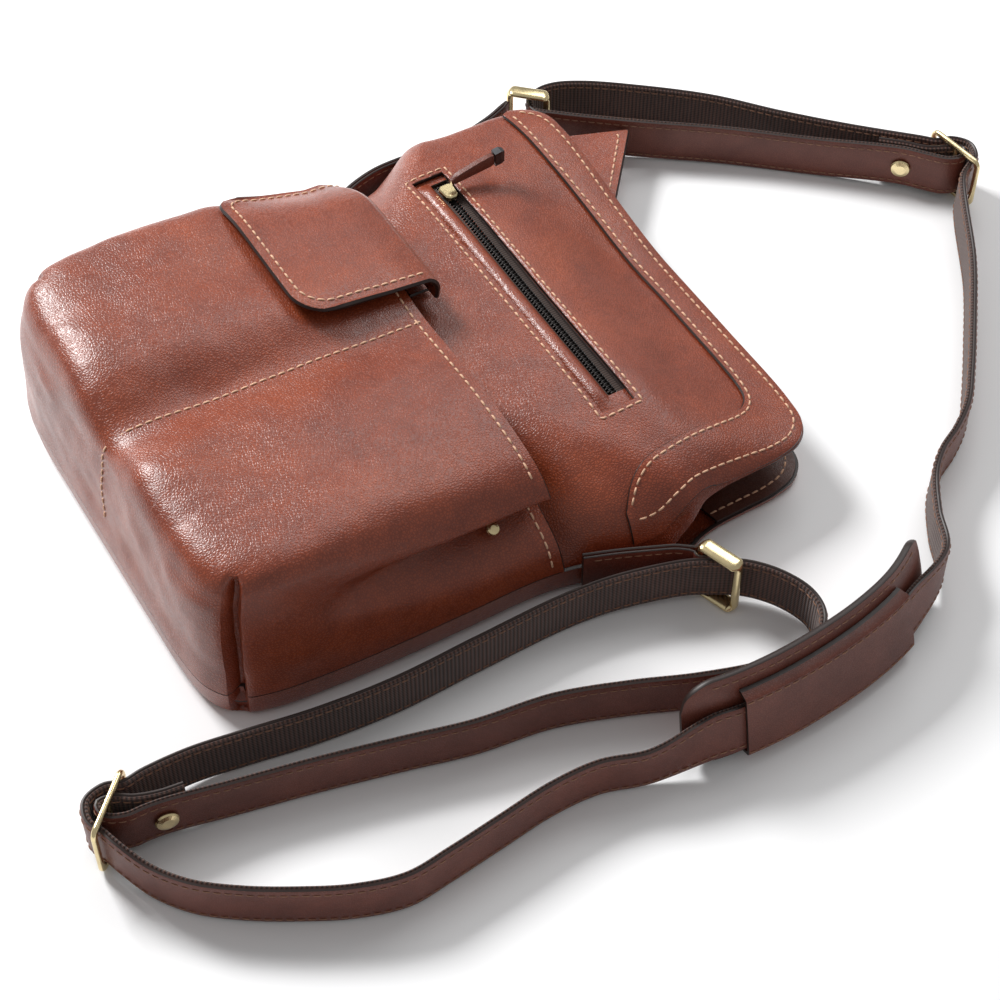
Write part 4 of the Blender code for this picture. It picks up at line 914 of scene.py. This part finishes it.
def laid(pairs, shares, surface, lift):
    """A grid between paired outer and inner plan points, lifted off a surface by lift(x, y, share)."""
    verts = []
    for share in shares:
        for ox, oy, ix, iy in pairs:
            x, y = mix(ox, ix, share), mix(oy, iy, share)
            p, n = surface.down(x, y)
            verts.append(p + n * lift(x, y, share))
    return np.array(verts), grid_faces(len(shares), len(pairs))


def lying_strip(name, pairs, surface, lift, thick, crown, mats):
    """A strip laid on a surface and crowned along its middle."""
    verts, faces = laid(pairs, SHARES, surface, lambda x, y, share: lift + crown * math.sin(math.pi * share))
    v, f, m = shell(verts, faces, thick)
    return make(name, v, f, mats, m), Surface(verts, faces)


def line_in_strip(pairs, away, outer=True):
    """A plan line at a distance from a strip's outer or inner edge, where the strip is wide enough."""
    line = []
    for ox, oy, ix, iy in pairs:
        width = math.hypot(ix - ox, iy - oy)
        if width < SEWN_WIDTH:
            continue
        share = away / width if outer else 1 - away / width
        line.append((mix(ox, ix, share), mix(oy, iy, share)))
    return line


band_pairs = smooth(BAND, 2.4)
band, BAND_TOP = lying_strip("lip_band_leather", band_pairs, FRONT, 1.8, 1.7, 0.5, [BAG, EDGE])
fit(band, "bag", "bag_leather", "lip_band")
bag_seam("lip_stitching", BAND_TOP.line(line_in_strip(band_pairs, 3.4)),
         BAND_TOP.line(line_in_strip(band_pairs, 2.8, outer=False)))


# Zip pocket: stitched frame, tapes, teeth and lining
def frame_pairs(outer, inner, bend):
    """Matched points round two rectangles, with round corners outside."""
    (ox0, oy0, ox1, oy1), (ix0, iy0, ix1, iy1) = outer, inner
    corners = (((ox1, oy1), (ix1, iy1), 0), ((ox0, oy1), (ix0, iy1), 90),
               ((ox0, oy0), (ix0, iy0), 180), ((ox1, oy0), (ix1, iy0), 270))
    pairs = []
    for (ox, oy), (ix, iy), start in corners:
        sx, sy = (1 if ox > 0.5 * (ox0 + ox1) else -1), (1 if oy > 0.5 * (oy0 + oy1) else -1)
        for a in np.linspace(start, start + 90, 6):
            t = math.radians(a)
            pairs.append((ox - sx * bend + bend * math.cos(t), oy - sy * bend + bend * math.sin(t),
                          ix - sx * 0.6 + 0.6 * math.cos(t), iy - sy * 0.6 + 0.6 * math.sin(t)))
    pairs.append(pairs[0])
    return resample(np.array(pairs), 2.4)


def zip_lip():
    """The leather under the window: level below its edges, and rolled up along the slot's lower side."""
    pairs = frame_pairs((ZIP_X[0], ZIP_Y[0], ZIP_X[1], ZIP_Y[1]),
                        (SLOT_X[0] + 1, SLOT_Y[0] + SLOT_ROOM, SLOT_X[1] - 1, SLOT_Y[1] - SLOT_ROOM), 2.5)

    def lift(x, y, share):
        across = np.clip((y - WINDOW[1]) / (SLOT_Y[0] + SLOT_ROOM - WINDOW[1]), 0, 1)
        roll = math.sin(math.pi * across) ** 0.7 * ease((x - WINDOW[0]) / 9) * ease((WINDOW[2] - x) / 12)
        return LIP_RISE * roll - LEATHER - 0.3

    verts, faces = laid(pairs, np.linspace(0, 1, 17), FRONT, lift)
    leather_piece("zip_lip_leather", verts, faces, 1.2, "zip_frame")


zip_lip()
x0, y0, x1, y1 = (w + d for w, d in zip(WINDOW, (-2.4, -2.4, 2.4, 2.4)))
bag_seam("zip_stitching", FRONT.line([(x1, y1), (x0, y1), (x0, y0), (x1, y0), (x1, y1)]))


def tape(node):
    """A woven strip in the place of a CAD one, with its weave running along it."""
    low, high = box_of(node)
    count = 60
    xs = np.linspace(low[0], high[0], count)
    top = tops_of(node, xs)
    tall = high[2] - low[2] > high[1] - low[1]
    verts, uv = [], []
    for x, z in zip(xs, top):
        if tall:
            ring = [(low[1], low[2]), (high[1], low[2]), (high[1], high[2]), (low[1], high[2])]
        else:
            ring = [(low[1], z - 0.8), (high[1], z - 0.8), (high[1], z), (low[1], z)]
        verts += [(x, y, zz) for y, zz in ring]
        uv += [(x * MM, (y + zz) * MM) for y, zz in ring]
    obj = make(node + "_weave", verts, tube_faces(count, 4, False), [TAPE], uv=uv)
    return fit(obj, "bag", "zip_tape", node)


def tops_of(node, xs):
    """A CAD node's greatest height at places along X."""
    pts = points_of(node)
    order = sorted({round(x, 2) for x in pts[:, 0]})
    peak = [pts[np.abs(pts[:, 0] - x) < 0.02][:, 2].max() for x in order]
    return np.interp(xs, order, peak)


def teeth(name, node, mat, flat):
    """Two rows of interlocked teeth along a CAD chain; flat ones lie in plan."""
    low, high = box_of(node)
    xs = np.arange(low[0] + 0.8, high[0] - 0.6, 0.9)
    top = tops_of(node, xs)
    verts, faces = [], []
    for k, (x, z) in enumerate(zip(xs, top)):
        up = 1 if k % 2 else -1
        if flat:
            mid = (0.5 * (low[1] + high[1]) + up * 0.55, z - 0.9)
            reach = (1.25, 0.8)
        else:
            mid = (0.5 * (low[1] + high[1]), 0.5 * (low[2] + high[2]) + up * 0.6)
            reach = (0.75, 1.35)
        base = len(verts)
        for dx, share in ((-0.36, 0.72), (-0.22, 1.0), (0.22, 1.0), (0.36, 0.72)):
            verts += [(x + dx, mid[0] + a * reach[0] * share, mid[1] + b * reach[1] * share)
                      for a, b in ((-1, -0.6), (-0.6, -1), (0.6, -1), (1, -0.6),
                                   (1, 0.6), (0.6, 1), (-0.6, 1), (-1, 0.6))]
        faces += [tuple(i + base for i in f) for f in tube_faces(4, 8, False)]
    return fit(make(name, verts, faces, [mat]), "bag", "brass", node)


for node in ("zip_tape_upper", "zip_tape_lower", "main_zip_tape_front", "main_zip_tape_back"):
    tape(node)
teeth("zip_teeth", "zip_chain", TOOTH, True)
teeth("main_zip_teeth", "main_zip_chain", BRASS, False)


def lined_bag():
    """The lining pocket behind the zip: a flat cloth bag, slack in the middle."""
    low, high = box_of("zip_pocket_bag")
    xs, ys = np.linspace(low[0], high[0], 40), np.linspace(low[1], high[1] - 30, 30)
    top = tops_of("zip_pocket_bag", xs)
    verts, uv = [], []
    for side in (0, 1):
        for y in ys:
            for x, z in zip(xs, top):
                slack = (math.sin(math.pi * (x - low[0]) / (high[0] - low[0]))
                         * math.sin(math.pi * (y - ys[0]) / (ys[-1] - ys[0])))
                verts.append((x, y, z - 1.2 if side else z - 2.2 - 1.8 * slack))
                uv.append((x * MM, y * MM))
    count = len(xs) * len(ys)
    top_faces = grid_faces(len(ys), len(xs))
    faces = [tuple(reversed(f)) for f in top_faces] + [tuple(i + count for i in f) for f in top_faces]
    edges = {(f[k], f[(k + 1) % 4]) for f in top_faces for k in range(4)}
    faces += [(a, b, b + count, a + count) for a, b in edges if (b, a) not in edges]
    return fit(make("zip_pocket_lining", verts, faces, [LINING], uv=uv), "bag", "lining", "zip_pocket_bag")


lined_bag()


# Sheets inside the bag and the leather strips of the mouth's zip
def upright_sheet(name, node, along, thick):
    """A thin upright sheet in the place of a CAD one; along is 0 for X or 1 for Y."""
    pts = points_of(node)
    across = 1 - along
    mid = 0.5 * (pts[:, across].min() + pts[:, across].max())
    order = sorted({round(t, 1) for t in pts[:, along]})
    spots = np.linspace(order[0], order[-1], 70)
    near = [pts[np.abs(pts[:, along] - t) < 0.11][:, 2] for t in order]
    low = np.interp(spots, order, [z.min() for z in near])
    high = np.interp(spots, order, [z.max() for z in near])
    verts = []
    for share in np.linspace(0, 1, 9):
        for t, a, b in zip(spots, low, high):
            p = np.zeros(3)
            p[along], p[across], p[2] = t, mid + 0.5 * thick, mix(a, b, share)
            verts.append(p)
    # the outer faces look along +Y or +X
    faces = grid_faces(9, len(spots))
    turned = [tuple(reversed(q)) for q in faces]
    inside = np.abs(shell(np.array(verts), turned, thick)[0][:, across] - mid).max() <= thick
    return leather_piece(name, np.array(verts), turned if inside else faces, thick, node)


upright_sheet("pocket_divider_leather", "pocket_divider", 1, 1.4)
upright_sheet("main_zip_front_leather", "main_zip_strip_front", 0, 1.5)
upright_sheet("main_zip_back_leather", "main_zip_strip_back", 0, 1.5)

# The back lip's facing, and the strip that the flap is sewn to
FLOOR = Surface([(-400, -400, 3.2), (400, -400, 3.2), (400, 400, 3.2), (-400, 400, 3.2)], [(0, 1, 2, 3)])
facing_pairs = smooth([(ox + 0.2 * np.sign(ox), oy, ix, iy) for ox, oy, ix, iy in BAND if oy > 64], 2.6)
# the facing's darker leather is painted shade: the bag leather darkened where it sits in shade inside the
# mouth
facing, FACING_TOP = lying_strip("back_facing_leather", facing_pairs, FLOOR, 1.5, 1.3, 0.0, [SHADED_FACING, EDGE])
fit(facing, "bag", "bag_leather", "back_lip_facing")
bag_seam("back_stitching", FACING_TOP.line(line_in_strip(facing_pairs, 4.6)))
root_pairs = np.array([(x, FLAP_HINGE_Y - 9, x, FLAP_HINGE_Y + 1)
                       for x in np.linspace(FLAP_X[0] + 2, FLAP_X[1] - 9, 40)])
root, ROOT_TOP = lying_strip("flap_root_leather", root_pairs[::-1], FRONT, 2.2, 1.7, 0.2, [BAG, EDGE])
fit(root, "bag", "bag_leather", "flap_root_strip")
bag_seam("flap_root_stitching",
         ROOT_TOP.line([(x, FLAP_HINGE_Y - 5.5) for x in (FLAP_X[1] - 12, FLAP_X[0] + 5)]))


# Pocket seams
def wall_line(places, direction, surface):
    """Points and normals where rays along a direction meet a wall."""
    pts, normals = [], []
    for p in places:
        hit, normal, _, _ = surface.tree.ray_cast(Vector(p), Vector(direction))
        if hit is None:
            continue
        normal = normal if normal.dot(Vector(direction)) < 0 else -normal
        pts.append(np.array(hit))
        normals.append(np.array(normal))
    return np.array(pts), np.array(normals)


def joined(*lines):
    """Lines of points and normals put end to end."""
    return np.vstack([p for p, _ in lines]), np.vstack([n for _, n in lines])


top_seam = POCKET.line([(0.01, MOUTH_Y - 2), (0.01, -138)])
base_seam = wall_line([(0.01, -300, z) for z in np.linspace(66, 26, 30)], (0, 1, 0), POCKET)
mouth_y = MOUTH_Y - 4.2
mouth_top = POCKET.line([(-92, mouth_y), (92, mouth_y)])
near_gusset = wall_line([(300, mouth_y, z) for z in np.linspace(40, 17, 20)], (-1, 0, 0), POCKET)
far_gusset = wall_line([(-300, mouth_y, z) for z in np.linspace(40, 17, 20)], (1, 0, 0), POCKET)
bag_seam("pocket_stitching", joined(top_seam, base_seam), mouth_top, near_gusset, far_gusset)


# Plates and strips on edge
def plate(name, line, height, thick, node):
    """A flat piece with a rounded edge, at a height that depends on Y."""
    d = unit(np.roll(line, -1, axis=0) - np.roll(line, 1, axis=0))
    inward = np.stack([-d[:, 1], d[:, 0]], axis=1)
    rows = []
    for inset, z in ((0.8, 0.0), (0.2, 0.18), (0.0, 0.5), (0.2, 0.82), (0.8, 1.0)):
        xy = line + inward * inset
        rows.append(np.column_stack([xy, height(xy[:, 1]) + z * thick]))
    cols = len(line)
    faces = tube_faces(len(rows), cols, False)
    marks = [1] * (len(faces) - 2) + [0, 0]
    fit(make(name, np.vstack(rows), faces, [BAG, EDGE], marks), "bag", "bag_leather", node)
    return Surface(np.vstack(rows), faces)


def rounded(corners, bend):
    """A closed outline through corners, each rounded off."""
    pts = np.asarray(corners, float)
    line = []
    for k in range(len(pts)):
        a, b, c = pts[k - 1], pts[k], pts[(k + 1) % len(pts)]
        u, w = unit(a - b) * bend, unit(c - b) * bend
        for t in np.linspace(0, 1, 7):
            line.append((1 - t) ** 2 * (b + u) + 2 * t * (1 - t) * b + t * t * (b + w))
    return np.array(line)


TAIL_TAB = [(-111.5, 94), (-74, 94), (-56.5, 128), (-96, 161.5), (-111.5, 128)]


def tail_height(y):
    return 13.0 + 4.4 * np.clip((y - 93) / 69, 0, 1)


TAIL_TOP = plate("zip_tail_leather", rounded(TAIL_TAB, 3.0), tail_height, 2.8, "main_zip_tail_tab")
tail_line = rounded([(-104, 126), (-95.6, 155), (-62, 127.5), (-76, 100)], 2.0)[7:-7]
bag_seam("zip_tail_stitching", TAIL_TOP.line(tail_line))


def on_edge(line, lean=None):
    """Base points, up and outward directions of a strip on edge."""
    line = np.asarray(line, float)
    d = unit(np.gradient(line[:, :2], axis=0))
    n = np.stack([d[:, 1], -d[:, 0]], axis=1)
    tilt = np.zeros(len(line)) if lean is None else np.asarray(lean, float)
    rise = np.sqrt(1 - tilt ** 2)
    up = np.column_stack([-n * tilt[:, None], rise])
    out = np.column_stack([n * rise[:, None], tilt])
    return line[:, :3], up, out


def sweep(name, stations, section, mats, edge=None, uv=False, scale=None):
    """A closed strip along stations, from (height, offset) section points."""
    base, up, out = stations
    rings = []
    for k in range(len(base)):
        pts = section if scale is None else scale(section, k)
        rings.append([base[k] + up[k] * h + out[k] * w for h, w in pts])
    rows, cols = len(rings), len(section)
    faces = tube_faces(rows, cols, False)
    marks = None
    if edge is not None:
        marks = [1 if j in edge else 0 for _ in range(rows - 1) for j in range(cols)] + [1, 1]
    grid = None
    if uv:
        along = lengths(base)
        grid = [(along[k] * MM, section[j][0] * MM) for k in range(rows) for j in range(cols)]
    return make(name, np.array(rings).reshape(-1, 3), faces, mats, marks, grid)


def edge_seam(stations, height, offset, facing=1, part=slice(None)):
    """A seam along a strip on edge."""
    base, up, out = stations
    return (base + up * height + out * offset)[part], (out * facing)[part]


def local(centre, d, n, pts, z):
    """Points given along and across a slide, in plan."""
    return [(centre[0] + d[0] * s + n[0] * t, centre[1] + d[1] * s + n[1] * t, z) for s, t in pts]


def through_pad():
    """The strap's stations under the pad's bridge, as x, y, lower edge and lean."""
    line = smooth([(x, y, 0.5) for x, y in PAD_LINE], 12.0)
    base, up, out = on_edge(line, np.full(len(line), PAD_LEAN))
    at = base + up * 5.2 + out * BRIDGE_ROOM
    return [(*p, PAD_LEAN * LEAN_SCALE) for p in at[1:-2]]


def level(points):
    return [(p[0], p[1], p[2] if len(p) > 2 else ON_TABLE, 0.0) for p in points]


ROUTE = (level(local(NEAR_SLIDE, NEAR_D, NEAR_N, TAIL, ON_BARS) + MIDDLE
               + local(NEAR_SLIDE, NEAR_D, NEAR_N, TURN, ON_BARS) + RETURN)
         + through_pad()
         + level(UP_RIGHT + local(FAR_SLIDE, FAR_D, FAR_N, TURN[::-1], ON_BARS) + FAR_WEB
                 + local(FAR_SLIDE, FAR_D, FAR_N, FAR_TAIL[::-1], ON_BARS)))
LEATHER_SECTION = [(0.0, 0.6), (0.25, 1.35), (1.1, 1.72), (6.0, 1.84), (11.0, 1.88), (16.0, 1.84),
                   (20.9, 1.72), (21.75, 1.35), (22.0, 0.6), (21.6, 0.06), (11.0, 0.04), (0.4, 0.06)]
WEBBING_SECTION = [(0.5, -0.05), (11.0, -0.03), (21.5, -0.05), (21.9, -0.5), (21.5, -1.15), (16.0, -1.3),
                   (11.0, -1.34), (6.0, -1.3), (0.5, -1.15), (0.1, -0.5)]


def strap():
    """The leather strip, the webbing sewn to it and the thread, along one route."""
    line = smooth(ROUTE, 1.6)
    stations = on_edge(line[:, :3], line[:, 3] / LEAN_SCALE)
    outer = sweep("strap_leather", stations, LEATHER_SECTION, [STRAP, EDGE], edge=(0, 7, 8, 11))
    inner = sweep("strap_webbing", stations, WEBBING_SECTION[::-1], [WEBBING], uv=True)
    fit(outer, "bag", "strap_leather", "strap_leather_layer")
    fit(inner, "bag", "webbing", "strap_webbing_layer")
    thread = strap_seam("strap_stitching", *(edge_seam(stations, height, offset, facing)
                                             for offset, facing in ((1.78, 1), (-1.24, -1))
                                             for height in (2.5, 19.5)))
    base, up, out = stations
    centre = (base + up * STRAP_W / 2 + out * 0.2)[::4] * MM
    return outer, inner, thread, centre


strap_leather, strap_webbing, strap_thread, strap_centre = strap()


# Shoulder pad and the bridge that the strap runs under
def pad():
    """A cushion round at both ends, and the bridge that holds the strap to it."""
    line = smooth([(x, y, 0.5) for x, y in PAD_LINE], 1.5)
    count = len(line)
    step = np.linalg.norm(line[1] - line[0])
    stations = on_edge(line, np.full(count, PAD_LEAN))
    half = PAD_T / 2

    def ends(section, k):
        t = min(k, count - 1 - k) * step
        cut = 13.0 * (1 - math.sqrt(max(0.0, 1 - max(0.0, 1 - t / 15.0) ** 2)))
        thin = 0.55 + 0.45 * min(1.0, t / 6.0)
        return [(cut + h * (PAD_W - 2 * cut) / PAD_W, w * thin) for h, w in section]

    side = [(0.0, 0.35), (0.5, 0.72), (2.0, 0.88), (8.0, 0.98), (PAD_W / 2, 1.0), (PAD_W - 8.0, 0.98),
            (PAD_W - 2.0, 0.88), (PAD_W - 0.5, 0.72), (PAD_W, 0.35)]
    section = [(h, w * half) for h, w in side] + [(h, -w * half) for h, w in reversed(side)]
    cushion = sweep("pad_leather", stations, section, [STRAP, EDGE], edge=(0, 7, 8, 9, 16, 17), scale=ends)
    fit(cushion, "bag", "strap_leather", "shoulder_pad")
    middle = slice(int(13 / step), count - int(13 / step))
    thread = strap_seam("pad_stitching", *(edge_seam(stations, h, facing * half * 0.92, facing, middle)
                                           for facing in (1, -1) for h in (3.4, PAD_W - 3.4)))
    first, last = int(round(24.0 / step)), count - int(round(30.0 / step))
    inside = tuple(a[first:last] for a in stations)
    near, face = half + 0.35, half + 6.0
    shape = [(1.6, near), (2.0, near + 1.6), (2.6, face - 1.2), (3.6, face - 0.15), (6.0, face),
             (17.3, face + 0.15), (28.6, face), (31.0, face - 0.15), (32.0, face - 1.2), (32.9, near + 1.6),
             (33.4, near), (31.9, near), (31.2, near + 1.6), (30.4, face - 1.5), (17.3, face - 1.4),
             (4.2, face - 1.5), (3.4, near + 1.6), (3.1, near)]
    bridge = sweep("bridge_leather", inside, shape[::-1], [STRAP, EDGE], edge=(0, 7))
    fit(bridge, "bag", "strap_leather", "pad_bridge")
    more = strap_seam("bridge_stitching", *(edge_seam(inside, h, face - 0.06) for h in (4.6, 30.0)))
    return cushion, thread, bridge, more


pad_pieces = pad()


# Side tabs folded round the ring posts
def tab(name, node, path, post, turn):
    """A strip on edge along a path, round the post and back."""
    line = smooth(path, 2.0)
    side = on_edge(np.column_stack([line, np.zeros(len(line))]))[2][:, :2]
    out, back = line + side * 0.95, line - side * 0.95
    start = math.atan2(out[-1][1] - post[1], out[-1][0] - post[0])
    stop = math.atan2(back[-1][1] - post[1], back[-1][0] - post[0])
    while turn * (stop - start) <= 0:
        stop += turn * 2 * math.pi
    bend = [(post[0] + TAB_BEND * math.cos(a), post[1] + TAB_BEND * math.sin(a))
            for a in np.linspace(start, stop, 26)[1:-1]]
    whole = np.vstack([out, bend, back[::-1]])
    stations = on_edge(np.column_stack([whole, np.full(len(whole), TAB_LOW)]))
    half, wide = 0.65, TAB_W
    section = [(0.0, 0.3 * half), (0.3, 0.85 * half), (1.2, half), (wide / 2, half), (wide - 1.2, half),
               (wide - 0.3, 0.85 * half), (wide, 0.3 * half), (wide, -0.3 * half), (wide - 0.3, -half),
               (wide / 2, -half), (0.3, -half), (0.0, -0.3 * half)]
    piece = sweep(name, stations, section, [STRAP, EDGE], edge=(0, 5, 6, 7, 10, 11))
    fit(piece, "bag", "strap_leather", node)
    count = len(out)
    strap_seam(name + "_stitching", *(edge_seam(stations, h, half, 1, run)
                                      for run in (slice(2, count - 1), slice(len(whole) - count + 1, -2))
                                      for h in (2.4, wide - 2.4)))


tab("near_tab_leather", "side_tab_near", NEAR_TAB, NEAR_POST, 1)
tab("far_tab_leather", "side_tab_far", FAR_TAB, FAR_POST, -1)


# Pullers
def puller(name, node, body, rows, along):
    """A leather pull: rounded sections at places along it, (place, centre, half width, half height)."""
    corner = [(-1, -0.7), (-0.8, -1), (0, -1.02), (0.8, -1), (1, -0.7), (1, 0),
              (1, 0.7), (0.8, 1), (0, 1.02), (-0.8, 1), (-1, 0.7), (-1, 0)]
    verts = []
    for place, centre, wide, tall in rows:
        for a, b in corner:
            p = np.array(centre, float)
            p[along] = place
            p[1 - along] += a * wide
            p[2] += b * tall
            verts.append(p)
    faces = tube_faces(len(rows), len(corner), False)
    return fit(make(name, np.array(verts), faces, [STRAP], sharp=50.0), body, "strap_leather", node)


def front_pull():
    """Taller towards its free end, and laid back along Y."""
    low, high = box_of("zip_puller_tab")
    rows = []
    for t in np.linspace(0, 1, 14):
        tall = np.interp(t, (0, 0.15, 0.62, 1.0), (1.3, 2.1, 2.8, 3.1))
        centre = (0.5 * (low[0] + high[0]), 0, low[2] + 2.16 * t + tall)
        rows.append((mix(low[1], high[1], t), centre, 1.45, tall * (0.8 if t in (0.0, 1.0) else 1.0)))
    puller("front_pull_leather", "zip_puller_tab", "front_zip_puller", rows, 1)


def main_pull():
    """A flat tongue along X."""
    low, high = box_of("main_zip_puller")
    rows = []
    for t in np.linspace(0, 1, 14):
        tall = np.interp(t, (0, 0.08, 0.4, 0.8, 1.0), (2.2, 3.0, 3.0, 2.6, 2.0))
        rows.append((mix(low[0], high[0], t), 0.5 * (low + high), 1.05, tall))
    puller("main_pull_leather", "main_zip_puller", "main_zip_puller", rows, 0)


front_pull()
main_pull()


# Rings and slides with round edges
def bent_bar(path, section, place):
    """A closed loop of bar: a section of (across, outward) points at each point of a path."""
    rows = []
    for k in range(len(path)):
        d = np.array(path[(k + 1) % len(path)][:2]) - np.array(path[k - 1][:2])
        normal = unit(np.array([d[1], -d[0]]))
        rows.append([place(path[k][0] + normal[0] * h, path[k][1] + normal[1] * h, w)
                     for w, h in section(path[k][2])])
    return np.array(rows).reshape(-1, 3), tube_faces(len(rows), len(rows[0]), True)


def round_frame(left, right, low, high, bend):
    """A rectangle with round corners, as (along, height, share of level run) points."""
    path = []
    for cx, cz, start in ((right - bend, high - bend, 0), (left + bend, high - bend, 90),
                          (left + bend, low + bend, 180), (right - bend, low + bend, 270)):
        for a in np.linspace(0, 90, 9):
            t = math.radians(start + a)
            path.append((cx + bend * math.cos(t), cz + bend * math.sin(t), abs(math.sin(t))))
    return path


def oval(wide, thick):
    """A rounded bar section."""
    turn = np.linspace(0, 2 * math.pi, 28, endpoint=False)
    return [(wide * math.copysign(abs(math.cos(a)) ** 0.8, math.cos(a)),
             thick * math.copysign(abs(math.sin(a)) ** 0.8, math.sin(a))) for a in turn]


def ring(name, node, body, post, out):
    """Round posts at both ends and broad flat bars below and above."""
    half, mid = RING_H / 2 - 1.5, RING_H / 2 + 0.3
    v, f = bent_bar(round_frame(0.0, RING_L, -half, half, 2.2),
                    lambda flat: oval(1.7 + 1.9 * float(ease((flat - 0.3) / 0.6)), 1.6 - 0.2 * flat),
                    lambda s, z, w: (post[0] + out[0] * s - out[1] * w,
                                     post[1] + out[1] * s + out[0] * w, mid + z))
    fit(make(name, v, f, [BRASS], sharp=70.0), body, "brass", node)


def slide(name, node, centre, d):
    """A frame of round bar with a post across its middle."""
    high = 2 * ON_BARS + STRAP_W - 0.3

    def place(s, z, w):
        return (centre[0] + d[0] * s - d[1] * w, centre[1] + d[1] * s + d[0] * w, z)

    v, f = bent_bar(round_frame(-14.3, 14.3, 1.6, high - 1.3, 3.0), lambda flat: oval(1.15, 1.3), place)
    turn = np.linspace(0, 2 * math.pi, 20, endpoint=False)
    post = np.array([place(BAR_R * math.cos(a), z, BAR_R * math.sin(a))
                     for z in (1.6, high - 1.3) for a in turn])
    f += [tuple(i + len(v) for i in q) for q in tube_faces(2, len(turn), False)]
    return fit(make(name, np.vstack([v, post]), f, [BRASS], sharp=70.0), "bag", "brass", node)


ring("near_ring_metal", "ring_near", "near_ring", NEAR_POST, NEAR_OUT)
ring("far_ring_metal", "ring_far", "far_ring", FAR_POST, FAR_OUT)
slides = [slide("near_slide_metal", "strap_slide_near", NEAR_SLIDE, NEAR_D),
          slide("far_slide_metal", "strap_slide_far", FAR_SLIDE, FAR_D)]

length = float(np.sum(np.linalg.norm(np.diff(strap_centre, axis=0), axis=1)))
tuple(strap_centre[0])


# Lights and floor
def lamp(name, place, at, size, power):
    data = bpy.data.lights.new(name, "AREA")
    data.shape = "RECTANGLE"
    data.size, data.size_y = size
    data.energy = power
    obj = bpy.data.objects.new(name, data)
    obj.location = place
    aim(obj, Vector(at))
    bpy.context.scene.collection.objects.link(obj)


lamp("window", (-1.25, -0.40, 1.20), (0.0, 0.0, 0.0), (0.55, 0.55), 38.0)
lamp("sky_panel", (-0.55, 0.95, 1.35), (0.0, 0.0, 0.0), (1.2, 0.7), 9.0)


def world():
    env = bpy.data.worlds.new("studio")
    env.use_nodes = True
    back = env.node_tree.nodes["Background"]
    back.inputs["Color"].default_value = (1.0, 1.0, 1.0, 1.0)
    back.inputs["Strength"].default_value = 0.38
    bpy.context.scene.world = env


def floor():
    size = 4000.0
    mat, _, shader = nodes_of("table")
    shader.inputs["Base Color"].default_value = (0.93, 0.93, 0.935, 1.0)
    shader.inputs["Roughness"].default_value = 0.6
    corners = [(-size, -size, 0), (size, -size, 0), (size, size, 0), (-size, size, 0)]
    make("table", corners, [(0, 1, 2, 3)], [mat])


world()
floor()

# Finishes of the CAD pieces that stay
HARDWARE = {
    BRASS: ("strap_rivet_near", "strap_rivet_far", "pocket_snap_near", "pocket_snap_far", "zip_slider",
            "zip_stop_near", "zip_stop_far", "main_zip_slider"),
    GUNMETAL: ("zip_puller_end",),
}
for metal, names in HARDWARE.items():
    for name in names:
        NODES[name].data.materials.clear()
        NODES[name].data.materials.append(metal)
